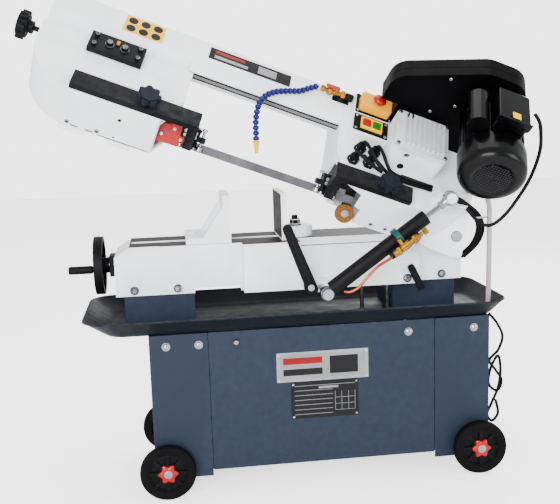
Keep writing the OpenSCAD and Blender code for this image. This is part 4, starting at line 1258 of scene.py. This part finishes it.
def junction_details():
    """Lid and a plain yellow mark on the junction box."""
    lid = Shape().box((-95, 61, 330), (-11, 66, 350))
    lid.piece("junction_lid", gloss_black, bevel=1.5)
    mark = Shape().slab(rect(-64, 63.8, -44, 81.8), "xy", 353, 353.6)
    mark.piece("junction_mark", label_yellow)


# ---- coolant


def point_at(path, length, share):
    """Point at a share of the path's length, and the path's direction there."""
    s = length[-1] * share
    i = max(j for j in range(len(length)) if length[j] <= s)
    i = min(i, len(path) - 2)
    t = (s - length[i]) / max(1e-6, length[i + 1] - length[i])
    return path[i].lerp(path[i + 1], t), path[i + 1] - path[i]


def coolant_hose():
    """Jointed blue coolant hose of ball segments with a yellow nozzle."""
    tip = (-563, 12, 60)
    root = [(-451, 110, 240), (-472, 99, 226), (-492, 88, 212), (-516, 77, 203), (-539, 66, 194)]
    bend = [(-558, 55, 184), (-575, 42, 168), (-583, 30, 150), (-584, 22, 137), (-582, 17, 118)]
    path = smooth_path([*root, *bend, (-577, 14, 98), (-570, 13, 79), tip], 8)
    length = [0.0]
    for a, b in zip(path, path[1:]):
        length.append(length[-1] + (b - a).length)
    socket = [(3.2, -8), (4.4, -7.4), (4.8, -4.5), (6.6, -3.6), (8, -1), (8, 2.2), (6.6, 4.4), (4.2, 5.6)]
    count = 22
    blue = Shape()
    for k in range(count):
        at, along = point_at(path, length, (k + 0.5) / count)
        blue.lathe(at, along, socket, 20)
    blue.piece("hose_segments", blue_plastic, "arm", ARM, replaces="coolant_hose", sharp=50)
    tilt = math.radians(21.1)
    down = Vector((math.sin(tilt), 0, -math.cos(tilt)))
    cone = [(5, 0), (7.4, 1), (7.4, 9), (6, 11), (5, 24), (4, 31), (2.2, 31), (2, 24)]
    nozzle = Shape().lathe(Vector(tip) - down * 2, down, cone, 24)
    nozzle.piece("hose_nozzle", yellow_plastic, "arm", ARM, sharp=50)


def coolant_tap():
    """Brass cock with its hose barb, and the dark bracket beside the hose's root."""
    u, v, w = -402, 248, 91
    body = [(6, 0), (8.4, 1), (8.4, 10), (6, 11), (6, 16), (9.5, 17), (9.5, 30), (7, 31), (7, 52)]
    barb = [(9, 53), (9, 64), (6, 66), (6, 76)]
    tap = Shape().lathe((u - 40, v, w), ALONG, body + barb, 28)
    tap.nut((u - 20, v, w), ALONG, 20, 9)
    tap.nut((u + 14, v, w), ALONG, 19, 9)
    tap.rod((u, v, 84), (u, v, 106), 6)
    tap.piece("coolant_tap", brass, bevel=0.4, replaces="coolant_valve")
    bracket = Shape()
    bracket.box((u - 4, v - 14, HOUSING_TOP), (u + 40, v + 14, HOUSING_TOP + 3))
    bracket.box((u + 8, v - 14, HOUSING_TOP), (u + 24, v + 12, HOUSING_TOP + 13))
    bracket.rod((u + 26, v, w), (u + 46, v, w), 10)
    bracket.piece("tap_bracket", black_steel, bevel=0.8)


# ---- the pieces, in order


for end in ("front", "rear"):
    for side in ("left", "right"):
        transport_wheel(f"wheel_{end}_{side}", f"{end}_{side}_wheel")
tray()
plates()
cabinet_bolts()
tray_posts()
power_cord()
supply_hose()
vise_details()
bed_bolts()
stop_arm_nut()
clamp_band()
needle_valve()
feed_ends()
yellow_label()
beam_plate()
tension_block()
left_housing_details()
guide_details(-716, "left_guide", 1)
guide_details(-361, "right_guide", -1)
guard_details()
brush_nut()
switch_plates()
switch_keys()
stop_mushroom()
cable_glands()
control_cables()
motor_lead()
cable_bundle()
stop_arm_rib()
seam_painted_shade()
beam_groove()
cover_knobs("left", "left_cover", IDLE_U, -47.5, ((-70, 60), (70, 60), (0, 215)))
cover_knobs("right", "arm", IDLE_U + WHEEL_SPAN, -41.5, ((-90, 185), (50, 205)))
gearbox_details()
fan_cover()
motor_ribs()
belt_box_screws()
junction_details()
coolant_hose()
coolant_tap()
pivot_details()
right_housing_screws()


# ---- floor, light and camera


def seen_by_camera(tree, otherwise, strength):
    """A strength for what the camera sees directly, and another for the light that falls on the object."""
    path = tree.nodes.new("ShaderNodeLightPath")
    pick = tree.nodes.new("ShaderNodeMapRange")
    fill(pick, {"To Min": otherwise, "To Max": strength})
    tree.links.new(path.outputs["Is Camera Ray"], pick.inputs["Value"])
    return pick.outputs[0]


def floor_paper():
    """Pale paper that glows a little for the camera only."""
    paper = surface(
        "floor", (255, 255, 255), rough=0.9, tone=0.008, tone_scale=1.5, grain=0.03, grain_scale=90.0
    )
    shader = next(node for node in paper.node_tree.nodes if node.type == "BSDF_PRINCIPLED")
    shader.inputs["Emission Color"].default_value = (1, 1, 1, 1)
    glow = seen_by_camera(paper.node_tree, 0.0, 1.5)
    paper.node_tree.links.new(glow, shader.inputs["Emission Strength"])
    return paper


def floor():
    """Plain floor, in metres."""
    bpy.ops.mesh.primitive_plane_add(size=14, location=(0, 1.0, 0))
    plane = bpy.context.object
    plane.name = "floor"
    plane.data.materials.append(floor_paper())


def area_light(name, place, aim, size, power):
    """Rectangular light at place that points at aim, in metres and watts."""
    data = bpy.data.lights.new(name, "AREA")
    data.shape = "RECTANGLE"
    data.size, data.size_y = size
    data.energy = power
    obj = add_object(name, data)
    obj.location = place
    obj.rotation_euler = (Vector(aim) - Vector(place)).to_track_quat("-Z", "Y").to_euler()


def studio_world():
    """Soft light from all sides, brighter where the camera looks straight at it."""
    world = bpy.data.worlds.new("studio")
    world.use_nodes = True
    background = world.node_tree.nodes["Background"]
    background.inputs["Color"].default_value = (0.98, 0.99, 1.0, 1)
    strength = seen_by_camera(world.node_tree, 1.45, 3.6)
    world.node_tree.links.new(strength, background.inputs["Strength"])
    bpy.context.scene.world = world


def lights():
    """Key light from the front left, with fill, top and rim lights."""
    studio_world()
    centre = (0, 0, 0.6)
    area_light("key", (-1.4, -3.2, 1.5), centre, (2.0, 1.8), 190)
    area_light("fill", (2.4, -2.2, 1.5), centre, (1.6, 1.6), 60)
    area_light("top", (0.2, 0.4, 3.2), centre, (2.2, 1.6), 34)
    area_light("rim", (1.2, 2.6, 2.0), centre, (1.6, 1.2), 50)


def camera():
    """Camera in front of the saw and left of its middle, looking slightly down and to the right."""
    place = (-0.3467, -2.0965, 0.9101)
    pitch, yaw, roll = (math.radians(a) for a in (9.4, 7.2, 1.8))
    look = Vector((math.sin(yaw) * math.cos(pitch), math.cos(yaw) * math.cos(pitch), -math.sin(pitch)))
    level = Vector((math.cos(yaw), -math.sin(yaw), 0))
    down = look.cross(level)
    right = level * math.cos(roll) + down * math.sin(roll)
    below = down * math.cos(roll) - level * math.sin(roll)
    data = bpy.data.cameras.new("camera")
    data.sensor_width = 36
    data.lens = 54.64
    obj = add_object("camera", data)
    rows = Matrix((right, -below, -look)).transposed()
    obj.matrix_world = Matrix.Translation(place) @ rows.to_4x4()
    bpy.context.scene.camera = obj


floor()
lights()
camera()
